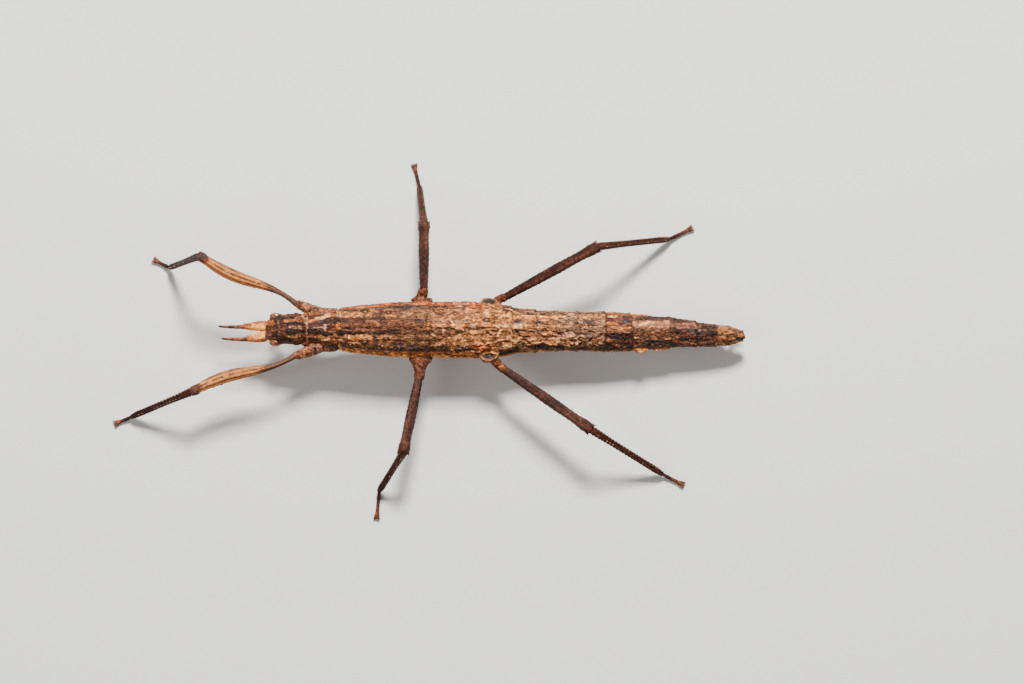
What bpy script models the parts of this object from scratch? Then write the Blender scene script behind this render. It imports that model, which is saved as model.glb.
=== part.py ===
"""Pachymorpha stick insect, a life-size still model, as solids for its named parts.

Metres, +Z up. The head points to -X, the insect's right side is +Y and its left side is -Y.
Every length below is in millimetres and is turned into metres where the mesh is made.
"""
import math
import random

import bmesh
import bpy
from mathutils import Vector

MM = 0.001
JOINT_GAP = 0.30
BODY_Y = 0.42
SOLE_Z = 0.0
SEED = 7

# Body stations: x, height of the side margin, half width, rise to the keel, depth below.
BODY_STATIONS = (
    (-13.7, 5.00, 1.50, 1.38, 1.35),
    (-12.0, 5.00, 1.86, 1.52, 1.50),
    (-10.1, 4.95, 2.32, 1.70, 1.65),
    (-7.6, 4.92, 2.63, 1.82, 1.80),
    (-3.3, 4.85, 2.95, 1.95, 1.90),
    (-0.3, 4.80, 2.98, 1.98, 1.95),
    (3.3, 4.68, 3.08, 2.00, 1.98),
    (7.0, 4.48, 3.00, 1.95, 1.92),
    (9.1, 4.32, 2.62, 1.80, 1.80),
    (13.5, 4.05, 2.22, 1.60, 1.65),
    (18.7, 3.72, 2.20, 1.50, 1.55),
    (22.2, 3.45, 2.03, 1.40, 1.45),
    (26.5, 3.10, 1.66, 1.22, 1.20),
    (29.4, 2.86, 1.38, 1.10, 0.90),
    (31.6, 2.66, 1.16, 0.95, 0.72),
    (33.2, 2.50, 1.12, 0.85, 0.60),
    (34.7, 2.38, 0.62, 0.50, 0.42),
)
HEAD_STATIONS = (
    (-17.8, 4.55, 1.08, 0.62, 0.62),
    (-17.3, 4.66, 1.36, 0.94, 0.94),
    (-16.5, 4.84, 1.54, 1.20, 1.20),
    (-15.4, 4.98, 1.63, 1.34, 1.30),
    (-14.4, 5.04, 1.72, 1.36, 1.34),
    (-13.9, 5.02, 1.54, 1.26, 1.24),
)
MOUTH_STATIONS = (
    (-18.0, 3.46, 0.30, 0.18, 0.18),
    (-17.5, 3.12, 0.50, 0.30, 0.32),
    (-16.7, 2.86, 0.60, 0.40, 0.42),
    (-15.9, 2.94, 0.42, 0.28, 0.30),
)
OPERCULUM_STATIONS = (
    (26.8, 1.50, 1.18, 0.12, 0.38),
    (29.0, 1.42, 1.10, 0.12, 0.45),
    (31.2, 1.38, 0.82, 0.12, 0.42),
    (32.9, 1.42, 0.32, 0.10, 0.22),
)

# Where one body part ends and the next begins.
PROTHORAX_SPAN = (-13.6, -10.1)
MESOTHORAX_SPAN = (-10.1, 0.0)
METATHORAX_SPAN = (0.0, 9.1)
ABDOMEN_LIMITS = (9.1, 11.8, 14.1, 16.4, 19.3, 22.2, 26.5, 29.4, 31.6, 34.7)

# Half sections, from the belly line to the back line: share of half width, share of height.
BODY_SECTION = (
    (0.00, -1.00),
    (0.42, -0.97),
    (0.78, -0.74),
    (0.94, -0.36),
    (1.00, 0.02),
    (0.95, 0.18),
    (0.76, 0.50),
    (0.44, 0.78),
    (0.13, 0.90),
    (0.00, 1.00),
)
HEAD_SECTION = (
    (0.00, -1.00),
    (0.45, -0.92),
    (0.82, -0.62),
    (1.00, -0.08),
    (0.93, 0.40),
    (0.70, 0.76),
    (0.34, 0.97),
    (0.00, 1.00),
)
PLATE_SECTION = (
    (0.00, -1.00),
    (0.55, -0.72),
    (0.96, 0.30),
    (0.90, 1.00),
    (0.00, 1.00),
)

# Full sections for the limbs: the long ridges of a femur, and a rounder six-sided tibia.
FEMUR_SECTION = (
    (0.52, 1.00),
    (1.00, 0.62),
    (0.92, -0.40),
    (0.55, -1.00),
    (-0.55, -1.00),
    (-0.92, -0.40),
    (-1.00, 0.62),
    (-0.52, 1.00),
)
ROUND_SECTION = (
    (0.42, 1.00),
    (1.00, 0.42),
    (1.00, -0.42),
    (0.42, -1.00),
    (-0.42, -1.00),
    (-1.00, -0.42),
    (-1.00, 0.42),
    (-0.42, 1.00),
)

# Limb profiles: share of the length, half width, half height.
FRONT_FEMUR = (
    (0.00, 0.32, 0.34),
    (0.14, 0.27, 0.32),
    (0.30, 0.40, 0.44),
    (0.48, 0.58, 0.56),
    (0.80, 0.60, 0.58),
    (0.93, 0.50, 0.54),
    (1.00, 0.53, 0.52),
)
FEMUR = (
    (0.00, 0.36, 0.38),
    (0.20, 0.42, 0.46),
    (0.55, 0.49, 0.52),
    (0.84, 0.45, 0.48),
    (0.95, 0.54, 0.52),
    (1.00, 0.47, 0.46),
)
TIBIA = (
    (0.00, 0.36, 0.38),
    (0.10, 0.37, 0.36),
    (0.28, 0.30, 0.31),
    (0.80, 0.28, 0.29),
    (1.00, 0.32, 0.31),
)
# The front coxa is stout and lies along the prothorax; the middle one is a flat cone.
FRONT_BOSS = (
    (0.00, 0.58, 0.70),
    (0.55, 0.64, 0.66),
    (1.00, 0.55, 0.56),
)
FRONT_COXA = (
    (0.00, 0.54, 0.54),
    (0.50, 0.58, 0.56),
    (1.00, 0.48, 0.47),
)
FRONT_TROCHANTER = (
    (0.00, 0.47, 0.46),
    (0.50, 0.46, 0.45),
    (1.00, 0.33, 0.35),
)
MID_BOSS = (
    (0.00, 0.98, 0.66),
    (0.55, 0.98, 0.62),
    (1.00, 0.92, 0.50),
)
MID_COXA = (
    (0.00, 0.90, 0.48),
    (0.50, 0.66, 0.50),
    (1.00, 0.45, 0.42),
)
HIND_BOSS = (
    (0.00, 0.60, 0.66),
    (0.55, 0.56, 0.60),
    (1.00, 0.46, 0.46),
)
HIND_COXA = (
    (0.00, 0.45, 0.45),
    (0.50, 0.50, 0.50),
    (1.00, 0.42, 0.42),
)
TROCHANTER = (
    (0.00, 0.42, 0.41),
    (0.50, 0.47, 0.46),
    (1.00, 0.36, 0.37),
)
SCAPE = (
    (0.00, 0.36, 0.27),
    (0.30, 0.50, 0.28),
    (0.62, 0.47, 0.27),
    (1.00, 0.28, 0.26),
)

# Leg kinds: the root of the boss inside the body, the socket on it, the sideways bow of the
# femur, and the profiles of the boss and of the limbs that follow it.
LEG_KINDS = {
    "front": {"root": (-11.40, 1.45, 4.55), "socket": (-12.90, 2.40, 4.50), "bow": 0.30,
              "profiles": (FRONT_BOSS, FRONT_COXA, FRONT_TROCHANTER, FRONT_FEMUR)},
    "mid": {"root": (-1.30, 2.00, 4.25), "socket": (-1.12, 3.22, 4.25), "bow": 0.0,
            "profiles": (MID_BOSS, MID_COXA, TROCHANTER, FEMUR)},
    "hind": {"root": (6.30, 2.20, 4.05), "socket": (7.00, 3.22, 3.95), "bow": 0.0,
             "profiles": (HIND_BOSS, HIND_COXA, TROCHANTER, FEMUR)},
}
# The pose of each leg: where its trochanter and its femur start, the femur's turn, rise and
# length, then the turn and length of the tibia and of the tarsus. Turns are degrees about +Z
# from +X. The tibia drops to the ankle's height.
LEG_POSES = {
    "front_right": {"trochanter": (-14.05, 2.70, 4.76), "hip": (-14.85, 2.92, 5.00),
                    "femur": (155.8, 15.7, 11.8), "tibia": (175.0, 8.55), "tarsus": (150.5, 2.35)},
    "front_left": {"trochanter": (-14.05, -2.72, 4.76), "hip": (-14.88, -2.98, 5.00),
                   "femur": (-160.4, 0.5, 11.75), "tibia": (-164.3, 8.60), "tarsus": (-158.5, 2.20)},
    "mid_right": {"trochanter": (-0.78, 3.98, 4.50), "hip": (-0.64, 4.66, 4.76),
                  "femur": (90.3, 0.5, 7.45), "tibia": (97.0, 6.75), "tarsus": (103.0, 2.85)},
    "mid_left": {"trochanter": (-1.05, -4.75, 4.50), "hip": (-1.22, -5.55, 4.74),
                 "femur": (-101.0, 4.0, 8.5), "tibia": (-130.0, 6.50), "tarsus": (-94.0, 3.25)},
    "hind_right": {"trochanter": (7.72, 3.60, 4.15), "hip": (8.48, 3.86, 4.40),
                   "femur": (27.4, 10.2, 11.4), "tibia": (15.2, 10.2), "tarsus": (27.8, 3.15)},
    "hind_left": {"trochanter": (7.60, -3.95, 4.12), "hip": (8.38, -4.55, 4.40),
                  "femur": (-36.3, 6.3, 11.5), "tibia": (-26.7, 10.3), "tarsus": (-26.5, 2.80)},
}
ANKLE_Z = 0.50
TOE_Z = 0.24
CLAW_LENGTH = 0.42
TARSOMERES = (0.34, 0.19, 0.14, 0.11, 0.22)

# Colours of the solids, each with its roughness.
BARK_BROWN = (0.20, 0.105, 0.065)
DARK_BROWN = (0.085, 0.045, 0.03)
PALE_TAN = (0.62, 0.40, 0.24)
ORANGE_TAN = (0.56, 0.27, 0.12)
GREY_BROWN = (0.25, 0.17, 0.12)
RED_BROWN = (0.17, 0.06, 0.035)
EYE_AMBER = (0.33, 0.10, 0.03)

for old in list(bpy.data.objects):
    bpy.data.objects.remove(old, do_unlink=True)

insect = bpy.data.collections.new("pachymorpha_stick_insect")
bpy.context.scene.collection.children.link(insect)


def smooth_between(rows, at):
    """Read the columns of a table between its rows, eased so that no corner shows."""
    if at <= rows[0][0]:
        return rows[0][1:]
    if at >= rows[-1][0]:
        return rows[-1][1:]
    index = max(i for i in range(len(rows) - 1) if rows[i][0] <= at)
    low = rows[index]
    high = rows[index + 1]
    before = rows[max(index - 1, 0)]
    after = rows[min(index + 2, len(rows) - 1)]
    step = high[0] - low[0]
    t = (at - low[0]) / step
    values = []
    for column in range(1, len(low)):
        leaving = (high[column] - before[column]) / (high[0] - before[0]) * step
        arriving = (after[column] - low[column]) / (after[0] - low[0]) * step
        rise = high[column] - low[column]
        if rise == 0.0:
            leaving = 0.0
            arriving = 0.0
        value = low[column] + leaving * t
        value += (3.0 * rise - 2.0 * leaving - arriving) * t * t
        value += (leaving + arriving - 2.0 * rise) * t * t * t
        values.append(value)
    return tuple(values)


def make_object(name, mesh, colour=None, roughness=0.6):
    """Put a mesh in the insect's collection, with a material of its own."""
    piece = bpy.data.objects.new(name, mesh)
    insect.objects.link(piece)
    if colour is not None:
        material = bpy.data.materials.new(name + "_finish")
        material.use_nodes = True
        shader = material.node_tree.nodes["Principled BSDF"]
        shader.inputs["Base Color"].default_value = (*colour, 1.0)
        shader.inputs["Roughness"].default_value = roughness
        shader.inputs["Metallic"].default_value = 0.0
        material.diffuse_color = (*colour, 1.0)
        mesh.materials.append(material)
    return piece


def closed_mesh(shape):
    """Turn a closed bmesh into a mesh whose faces all look outward."""
    bmesh.ops.recalc_face_normals(shape, faces=shape.faces[:])
    if shape.calc_volume(signed=True) < 0.0:
        bmesh.ops.reverse_faces(shape, faces=shape.faces[:])
    mesh = bpy.data.meshes.new("solid")
    shape.to_mesh(mesh)
    shape.free()
    return mesh


def skin_rings(rings, pointed=None):
    """Close a row of rings into one mesh; pointed is an optional last point."""
    shape = bmesh.new()
    rows = []
    for ring in rings:
        rows.append([shape.verts.new((p[0] * MM, (p[1] + BODY_Y) * MM, p[2] * MM)) for p in ring])
    count = len(rows[0])
    for near, far in zip(rows, rows[1:]):
        for i in range(count):
            j = (i + 1) % count
            shape.faces.new((near[i], near[j], far[j], far[i]))
    shape.faces.new(list(reversed(rows[0])))
    if pointed is None:
        shape.faces.new(rows[-1])
    else:
        tip = shape.verts.new((pointed[0] * MM, (pointed[1] + BODY_Y) * MM, pointed[2] * MM))
        for i in range(count):
            shape.faces.new((rows[-1][i], rows[-1][(i + 1) % count], tip))
    return closed_mesh(shape)


def section_ring(x, stations, section, scale=1.0):
    """One ring across the body at x, from a half section mirrored about the middle plane."""
    height, half, rise, depth = smooth_between(stations, x)
    right = []
    for across, up in section:
        z = height + (rise if up > 0.0 else depth) * up * scale
        right.append(Vector((x, across * half * scale, z)))
    left = [Vector((p.x, -p.y, p.z)) for p in reversed(right[1:-1])]
    return right + left


def body_part(start, end, stations, section, step=1.25, flare=0.0, rim=0.14):
    """The rings of one body part: a small bevel at each end, and a hind margin that flares."""
    inner = max(2, round((end - start - 2.0 * rim) / step) + 1)
    places = [start]
    for i in range(inner):
        places.append(start + rim + (end - start - 2.0 * rim) * i / (inner - 1))
    places.append(end)
    rings = []
    for x in places:
        share = (x - start) / (end - start)
        scale = 1.0 + flare * (share * share - 0.4)
        if x in (start, end):
            scale *= 0.93
        rings.append(section_ring(x, stations, section, scale))
    return skin_rings(rings)


def surface_point(x, place, side, stations=BODY_STATIONS, section=BODY_SECTION):
    """A point of the body's skin and its outward direction; place runs 0 to 1, margin to keel."""
    height, half, rise, depth = smooth_between(stations, x)
    upper = [row for row in section if row[1] >= 0.0]
    spot = place * (len(upper) - 1)
    index = min(int(spot), len(upper) - 2)
    share = spot - index
    across = upper[index][0] + (upper[index + 1][0] - upper[index][0]) * share
    up = upper[index][1] + (upper[index + 1][1] - upper[index][1]) * share
    point = Vector((x, side * across * half, height + up * rise))
    middle = Vector((x, 0.0, height - 0.4 * depth))
    return point, (point - middle).normalized()


def bump(point, outward, radius, height, lean=0.0, sides=5):
    """A blunt tubercle or a lobe, its root sunk in the skin below it."""
    across = outward.cross(Vector((1.0, 0.0, 0.0))).normalized()
    along = across.cross(outward)
    rings = []
    for level, width in ((-0.16, 1.0), (0.45 * height, 0.72)):
        centre = point + outward * level + along * lean * max(level, 0.0)
        ring = []
        for i in range(sides):
            angle = 2.0 * math.pi * (i + 0.3) / sides
            ring.append(centre + (across * math.cos(angle) + along * math.sin(angle)) * radius * width)
        rings.append(ring)
    return skin_rings(rings, point + outward * height + along * lean * height)


def ellipsoid(centre, radii, segments=12, rows=7):
    """A closed ellipsoid with its poles at its two Y ends."""
    shape = bmesh.new()
    bmesh.ops.create_uvsphere(shape, u_segments=segments, v_segments=rows, radius=1.0)
    for vert in shape.verts:
        x, y, z = vert.co
        vert.co = ((centre[0] + x * radii[0]) * MM,
                   (centre[1] + BODY_Y + z * radii[1]) * MM,
                   (centre[2] + y * radii[2]) * MM)
    return closed_mesh(shape)


def apply_boolean(piece, meshes, operation):
    """Join meshes to a piece, or cut them from it, in one exact Boolean."""
    tools = bpy.data.collections.new(piece.name + "_tools")
    bpy.context.scene.collection.children.link(tools)
    tools.hide_render = True
    for mesh in meshes:
        tool = bpy.data.objects.new(piece.name + "_tool", mesh)
        tool.display_type = "WIRE"
        tools.objects.link(tool)
    modifier = piece.modifiers.new("Join", "BOOLEAN")
    modifier.operation = operation
    modifier.solver = "EXACT"
    modifier.operand_type = "COLLECTION"
    modifier.collection = tools
    bpy.context.view_layer.update()
    graph = bpy.context.evaluated_depsgraph_get()
    joined = bpy.data.meshes.new_from_object(piece.evaluated_get(graph))
    piece.modifiers.clear()
    piece.data = joined
    for tool in list(tools.objects):
        bpy.data.objects.remove(tool, do_unlink=True)
    bpy.data.collections.remove(tools)
    keep_largest(joined)


def keep_largest(mesh):
    """Leave only the largest closed surface of a mesh."""
    shape = bmesh.new()
    shape.from_mesh(mesh)
    bmesh.ops.remove_doubles(shape, verts=shape.verts[:], dist=0.002 * MM)
    unseen = set(shape.faces)
    islands = []
    while unseen:
        first = unseen.pop()
        island = [first]
        queue = [first]
        while queue:
            face = queue.pop()
            for edge in face.edges:
                for other in edge.link_faces:
                    if other in unseen:
                        unseen.discard(other)
                        island.append(other)
                        queue.append(other)
        islands.append(island)
    islands.sort(key=lambda faces: sum(face.calc_area() for face in faces), reverse=True)
    for island in islands[1:]:
        bmesh.ops.delete(shape, geom=island, context="FACES")
    loose = [vert for vert in shape.verts if not vert.link_faces]
    bmesh.ops.delete(shape, geom=loose, context="VERTS")
    shape.to_mesh(mesh)
    shape.free()


def limb(start, end, start_plane, end_plane, profile, section, count, bow=None):
    """A bar between two mitre planes, each a point and a normal, so joints meet face to face."""
    axis = (end - start).normalized()
    side = Vector((0.0, 0.0, 1.0)).cross(axis).normalized()
    up = axis.cross(side)
    rings = []
    for i in range(count):
        t = i / (count - 1)
        half_width, half_height = smooth_between(profile, t)
        shift_side, shift_up = bow(t) if bow else (0.0, 0.0)
        ring = []
        for across, high in section:
            offset = side * (across * half_width + shift_side) + up * (high * half_height + shift_up)
            first = start + offset
            first += axis * ((start_plane[0] - first).dot(start_plane[1]) / axis.dot(start_plane[1]))
            last = end + offset
            last += axis * ((end_plane[0] - last).dot(end_plane[1]) / axis.dot(end_plane[1]))
            ring.append(first.lerp(last, t))
        rings.append(ring)
    return rings


def mitre_planes(points):
    """For a chain of points, the plane that starts and the plane that ends each bar."""
    ways = [(b - a).normalized() for a, b in zip(points, points[1:])]
    normals = [ways[0]] + [(a + b).normalized() for a, b in zip(ways, ways[1:])] + [ways[-1]]
    half_gap = JOINT_GAP / 2.0
    starts = []
    ends = []
    for i in range(len(ways)):
        starts.append((points[i] + normals[i] * half_gap, normals[i]))
        ends.append((points[i + 1] - normals[i + 1] * half_gap, normals[i + 1]))
    return starts, ends


def way(turn, rise):
    """A unit direction from a turn about +Z and a rise above level, in degrees."""
    turn = math.radians(turn)
    rise = math.radians(rise)
    return Vector((math.cos(rise) * math.cos(turn), math.cos(rise) * math.sin(turn), math.sin(rise)))


def leg_points(name):
    """The joints of one leg, from its socket on the body to the end of its tarsus."""
    kind = LEG_KINDS[name.split("_")[0]]
    pose = LEG_POSES[name]
    side = 1.0 if name.endswith("right") else -1.0
    socket = Vector((kind["socket"][0], side * kind["socket"][1], kind["socket"][2]))
    coxa_end = Vector(pose["trochanter"])
    hip = Vector(pose["hip"])
    turn, rise, length = pose["femur"]
    knee = hip + way(turn, rise) * length
    turn, length = pose["tibia"]
    drop = -math.degrees(math.asin((knee.z - ANKLE_Z) / length))
    ankle = knee + way(turn, drop) * length
    turn, length = pose["tarsus"]
    toe = ankle + way(turn, 0.0) * (length - CLAW_LENGTH)
    toe.z = TOE_Z
    return [socket, coxa_end, hip, knee, ankle, toe]


def spine_row(start, end, places, size, side_share):
    """Small ventral teeth near the end of a femur."""
    axis = (end - start).normalized()
    side = Vector((0.0, 0.0, 1.0)).cross(axis).normalized()
    up = axis.cross(side)
    teeth = []
    for place in places:
        for way_out in (-1.0, 1.0):
            point = start.lerp(end, place) - up * size[1] * 0.86 + side * size[0] * side_share * way_out
            outward = (axis * 0.25 - up + side * 0.25 * way_out).normalized()
            teeth.append(bump(point, outward, 0.09, 0.20))
    return teeth


def tarsus_profile():
    """Each tarsomere starts narrow and widens to its pad; shares of length and half sizes."""
    rows = []
    done = 0.0
    for length in TARSOMERES:
        rows.append((done + 0.04 * length, 0.195, 0.20))
        rows.append((done + 0.72 * length, 0.262, 0.265))
        done += length
    rows[0] = (0.0, 0.25, 0.25)
    rows.append((1.0, 0.215, 0.215))
    return tuple(rows)


def straight_between(rows, at):
    """Read a table between its rows with straight lines."""
    for low, high in zip(rows, rows[1:]):
        if at <= high[0]:
            t = (at - low[0]) / (high[0] - low[0])
            return tuple(a + (b - a) * t for a, b in zip(low[1:], high[1:]))
    return rows[-1][1:]


def build_tarsus(name, ankle, toe, start_plane):
    """Five tarsomeres, a pad and two claws, cut flat where they stand on the floor."""
    rows = tarsus_profile()
    axis = (toe - ankle).normalized()
    level = Vector((axis.x, axis.y, 0.0)).normalized()
    side = Vector((0.0, 0.0, 1.0)).cross(axis).normalized()
    up = axis.cross(side)
    rings = []
    for t in [row[0] for row in rows]:
        half_width, half_height = straight_between(rows, t)
        centre = ankle.lerp(toe, t)
        centre.z = TOE_Z + (ANKLE_Z - TOE_Z) * max(0.0, 1.0 - t / 0.45) ** 1.4
        ring = []
        for across, high in ROUND_SECTION:
            point = centre + side * across * half_width + up * high * half_height
            if t == 0.0:
                way_in = start_plane[0] - point
                point += axis * (way_in.dot(start_plane[1]) / axis.dot(start_plane[1]))
            ring.append(point)
        rings.append(ring)
    foot = make_object(name, skin_rings(rings), RED_BROWN, 0.55)
    extras = [ellipsoid(toe + level * 0.10 - Vector((0.0, 0.0, 0.06)), (0.20, 0.20, 0.19), 8, 5)]
    for hand in (-1.0, 1.0):
        root = toe - level * 0.12 + side * 0.10 * hand
        middle = toe + level * 0.22 + side * 0.30 * hand
        tip = toe + level * CLAW_LENGTH + side * 0.38 * hand
        middle.z = 0.27
        tip.z = 0.07
        claw = []
        for place, radius in ((root, 0.11), (middle, 0.085)):
            ring = []
            for i in range(5):
                angle = 2.0 * math.pi * i / 5
                ring.append(place + side * math.cos(angle) * radius
                            + Vector((0.0, 0.0, 1.0)) * math.sin(angle) * radius)
            claw.append(ring)
        extras.append(skin_rings(claw, tip))
    apply_boolean(foot, extras, "UNION")
    floor = bmesh.new()
    bmesh.ops.create_cube(floor, size=1.0)
    for vert in floor.verts:
        vert.co = (ankle.x * MM + vert.co.x * 0.012, ankle.y * MM + vert.co.y * 0.012,
                   SOLE_Z + (vert.co.z - 0.5) * 0.002)
    slab = bpy.data.meshes.new("floor")
    floor.to_mesh(slab)
    floor.free()
    apply_boolean(foot, [slab], "DIFFERENCE")


def build_leg(name):
    """All the pieces of one leg, and the boss that carries it on the body."""
    kind = LEG_KINDS[name.split("_")[0]]
    points = leg_points(name)
    starts, ends = mitre_planes(points)
    socket, coxa_end, hip, knee, ankle, toe = points
    outward = 1.0 if name.endswith("right") else -1.0
    colour = ORANGE_TAN if name.startswith("front") else BARK_BROWN

    boss_profile, coxa_profile, trochanter_profile, femur_profile = kind["profiles"]
    coxa = limb(socket, coxa_end, starts[0], ends[0], coxa_profile, ROUND_SECTION, 5)
    make_object("coxa_" + name, skin_rings(coxa), GREY_BROWN, 0.75)
    trochanter = limb(coxa_end, hip, starts[1], ends[1], trochanter_profile, ROUND_SECTION, 5)
    make_object("trochanter_" + name, skin_rings(trochanter), GREY_BROWN, 0.75)

    axis = knee - hip
    turn_side = 1.0 if Vector((0.0, 0.0, 1.0)).cross(axis).y * outward > 0.0 else -1.0

    def femur_bow(t):
        return kind["bow"] * turn_side * math.sin(2.0 * math.pi * t ** 0.85), 0.0

    femur_rings = limb(hip, knee, starts[2], ends[2], femur_profile, FEMUR_SECTION, 12, femur_bow)
    femur = make_object("femur_" + name, skin_rings(femur_rings), colour, 0.6)
    size = smooth_between(femur_profile, 0.8)
    apply_boolean(femur, spine_row(hip, knee, (0.72, 0.80, 0.88), size, 0.5), "UNION")

    tibia = limb(knee, ankle, starts[3], ends[3], TIBIA, ROUND_SECTION, 9)
    make_object("tibia_" + name, skin_rings(tibia), DARK_BROWN, 0.6)
    build_tarsus("tarsus_" + name, ankle, toe, starts[4])

    root = Vector((kind["root"][0], outward * kind["root"][1], kind["root"][2]))
    way_in = (socket - root).normalized()
    way_out = (coxa_end - socket).normalized()
    end = (socket - way_out * JOINT_GAP / 2.0, way_out)
    return skin_rings(limb(root, socket, (root, way_in), end, boss_profile, ROUND_SECTION, 4))


bosses = {name: build_leg(name) for name in LEG_POSES}
dice = random.Random(SEED)
half_gap = JOINT_GAP / 2.0

# Head, eyes, antennae and mouthparts.
head = make_object("head", body_part(-17.8, -13.9, HEAD_STATIONS, HEAD_SECTION, 0.62, 0.0, 0.12),
                   BARK_BROWN, 0.7)
head_bumps = []
for side in (-1.0, 1.0):
    for x, place, radius, height in ((-16.75, 0.78, 0.26, 0.26), (-15.7, 0.62, 0.16, 0.16),
                                     (-14.7, 0.72, 0.18, 0.18), (-14.5, 0.35, 0.15, 0.14)):
        point, outward = surface_point(x, place, side, HEAD_STATIONS, HEAD_SECTION)
        head_bumps.append(bump(point, outward, radius, height))
apply_boolean(head, head_bumps, "UNION")
EYE_RADII = (0.55, 0.42, 0.48)
eye_sockets = []
for side, hand in ((1.0, "right"), (-1.0, "left")):
    centre = (-16.95, side * 1.48, 4.98)
    eye_sockets.append(ellipsoid(centre, tuple(r + JOINT_GAP for r in EYE_RADII), 16, 9))
    make_object("eye_" + hand, ellipsoid(centre, EYE_RADII, 16, 9), EYE_AMBER, 0.18)
apply_boolean(head, eye_sockets, "DIFFERENCE")

ANTENNA_POINTS = {
    "right": ((-17.95, 0.50, 4.55), (-20.45, 0.40, 4.46), (-23.45, 0.48, 4.40)),
    "left": ((-17.95, -0.64, 4.55), (-20.05, -1.00, 4.44), (-23.1, -0.90, 4.38)),
}
ANNULI = 7


def flagellum_profile():
    """A tapering whip of short rings, each a little wider at its middle."""
    rows = []
    for i in range(2 * ANNULI + 1):
        t = i / (2 * ANNULI)
        radius = (0.265 - 0.105 * t) * (1.07 if i % 2 else 0.93)
        rows.append((t, radius, radius))
    return tuple(rows)


for hand, joints in ANTENNA_POINTS.items():
    joints = [Vector(joint) for joint in joints]
    starts, ends = mitre_planes(joints)
    face = (Vector((-17.8 - JOINT_GAP, 0.0, 4.55)), Vector((-1.0, 0.0, 0.0)))
    scape = limb(joints[0], joints[1], face, ends[0], SCAPE, ROUND_SECTION, 8)
    make_object("scape_" + hand, skin_rings(scape), PALE_TAN, 0.55)
    whip = limb(joints[1], joints[2], starts[1], ends[1], flagellum_profile(), ROUND_SECTION,
                2 * ANNULI + 1)
    make_object("flagellum_" + hand, skin_rings(whip), ORANGE_TAN, 0.6)

make_object("mouthparts", body_part(-18.0, -15.9, MOUTH_STATIONS, HEAD_SECTION, 0.5, 0.0, 0.1),
            DARK_BROWN, 0.55)
PALP = ((0.0, 0.20, 0.20), (0.5, 0.25, 0.25), (1.0, 0.16, 0.16))
for side, hand in ((1.0, "right"), (-1.0, "left")):
    root = Vector((-16.5, side * 1.15, 2.95))
    tip = Vector((-17.9, side * 1.00, 2.45))
    direction = (tip - root).normalized()
    palp = limb(root, tip, (root, direction), (tip, direction), PALP, ROUND_SECTION, 5)
    make_object("palp_" + hand, skin_rings(palp), GREY_BROWN, 0.6)


def thorax_bumps(start, end, count, height):
    """Scattered tubercles in loose pairs along the back, and a low bar at the hind margin."""
    found = []
    for i in range(count):
        x = start + (end - start) * (i + 0.5) / count
        for side in (-1.0, 1.0):
            place = dice.uniform(0.42, 0.86)
            radius = dice.uniform(0.11, 0.17)
            point, outward = surface_point(x + dice.uniform(-0.2, 0.2), place, side)
            found.append(bump(point, outward, radius, height * dice.uniform(0.8, 1.2)))
    for side in (-1.0, 1.0):
        point, outward = surface_point(end - 0.35, 0.93, side)
        found.append(bump(point, outward, 0.24, 0.18))
    return found


def thorax_part(name, span, legs, colour, bumps):
    """A thorax part with the bosses of its legs and its tubercles."""
    mesh = body_part(span[0] + half_gap, span[1] - half_gap, BODY_STATIONS, BODY_SECTION, 1.2, 0.03)
    piece = make_object(name, mesh, colour, 0.7)
    apply_boolean(piece, [bosses[leg] for leg in legs] + bumps, "UNION")
    return piece


thorax_part("prothorax", PROTHORAX_SPAN, ("front_right", "front_left"), GREY_BROWN,
            thorax_bumps(-13.1, -10.4, 3, 0.16))
thorax_part("mesothorax", MESOTHORAX_SPAN, ("mid_right", "mid_left"), BARK_BROWN,
            thorax_bumps(-9.3, -0.3, 8, 0.22))
ear_lobes = [ellipsoid((6.55, side * 3.10, 4.66), (0.84, 0.60, 0.42), 12, 7) for side in (-1.0, 1.0)]
thorax_part("metathorax", METATHORAX_SPAN, ("hind_right", "hind_left"), GREY_BROWN,
            thorax_bumps(0.4, 6.8, 6, 0.20) + ear_lobes)

# The abdomen, one node to each tergum from the second to the tenth.
for number, (start, end) in enumerate(zip(ABDOMEN_LIMITS, ABDOMEN_LIMITS[1:]), start=2):
    last = number == 10
    mesh = body_part(start + half_gap, end - (0.0 if last else half_gap), BODY_STATIONS,
                     BODY_SECTION, 0.8, 0.0 if last else 0.06)
    tergum = make_object("abdomen_%d" % number, mesh, PALE_TAN if last else GREY_BROWN, 0.7)
    rises = []
    for side in (-1.0, 1.0):
        point, outward = surface_point(end - 0.55, 0.80, side)
        rises.append(bump(point, outward, 0.20, 0.20, -0.2))
        if number in (5, 6, 7):
            rises.append(ellipsoid((end - 0.75, side * (point.y * side + 1.0), point.z - 0.9),
                                   (0.50, 0.32, 0.22), 10, 5))
    apply_boolean(tergum, rises, "UNION")

make_object("subgenital_plate", body_part(26.8, 32.9, OPERCULUM_STATIONS, PLATE_SECTION, 1.1, 0.0, 0.2),
            BARK_BROWN, 0.7)
CERCUS = ((0.0, 0.24, 0.22), (0.4, 0.27, 0.24), (1.0, 0.12, 0.12))
for side, hand in ((1.0, "right"), (-1.0, "left")):
    root = Vector((33.30, side * 0.46, 1.40))
    tip = Vector((34.60, side * 0.58, 1.52))
    direction = (tip - root).normalized()
    cercus = limb(root, tip, (root, direction), (tip, direction), CERCUS, ROUND_SECTION, 5)
    make_object("cercus_" + hand, skin_rings(cercus), ORANGE_TAN, 0.65)
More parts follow.
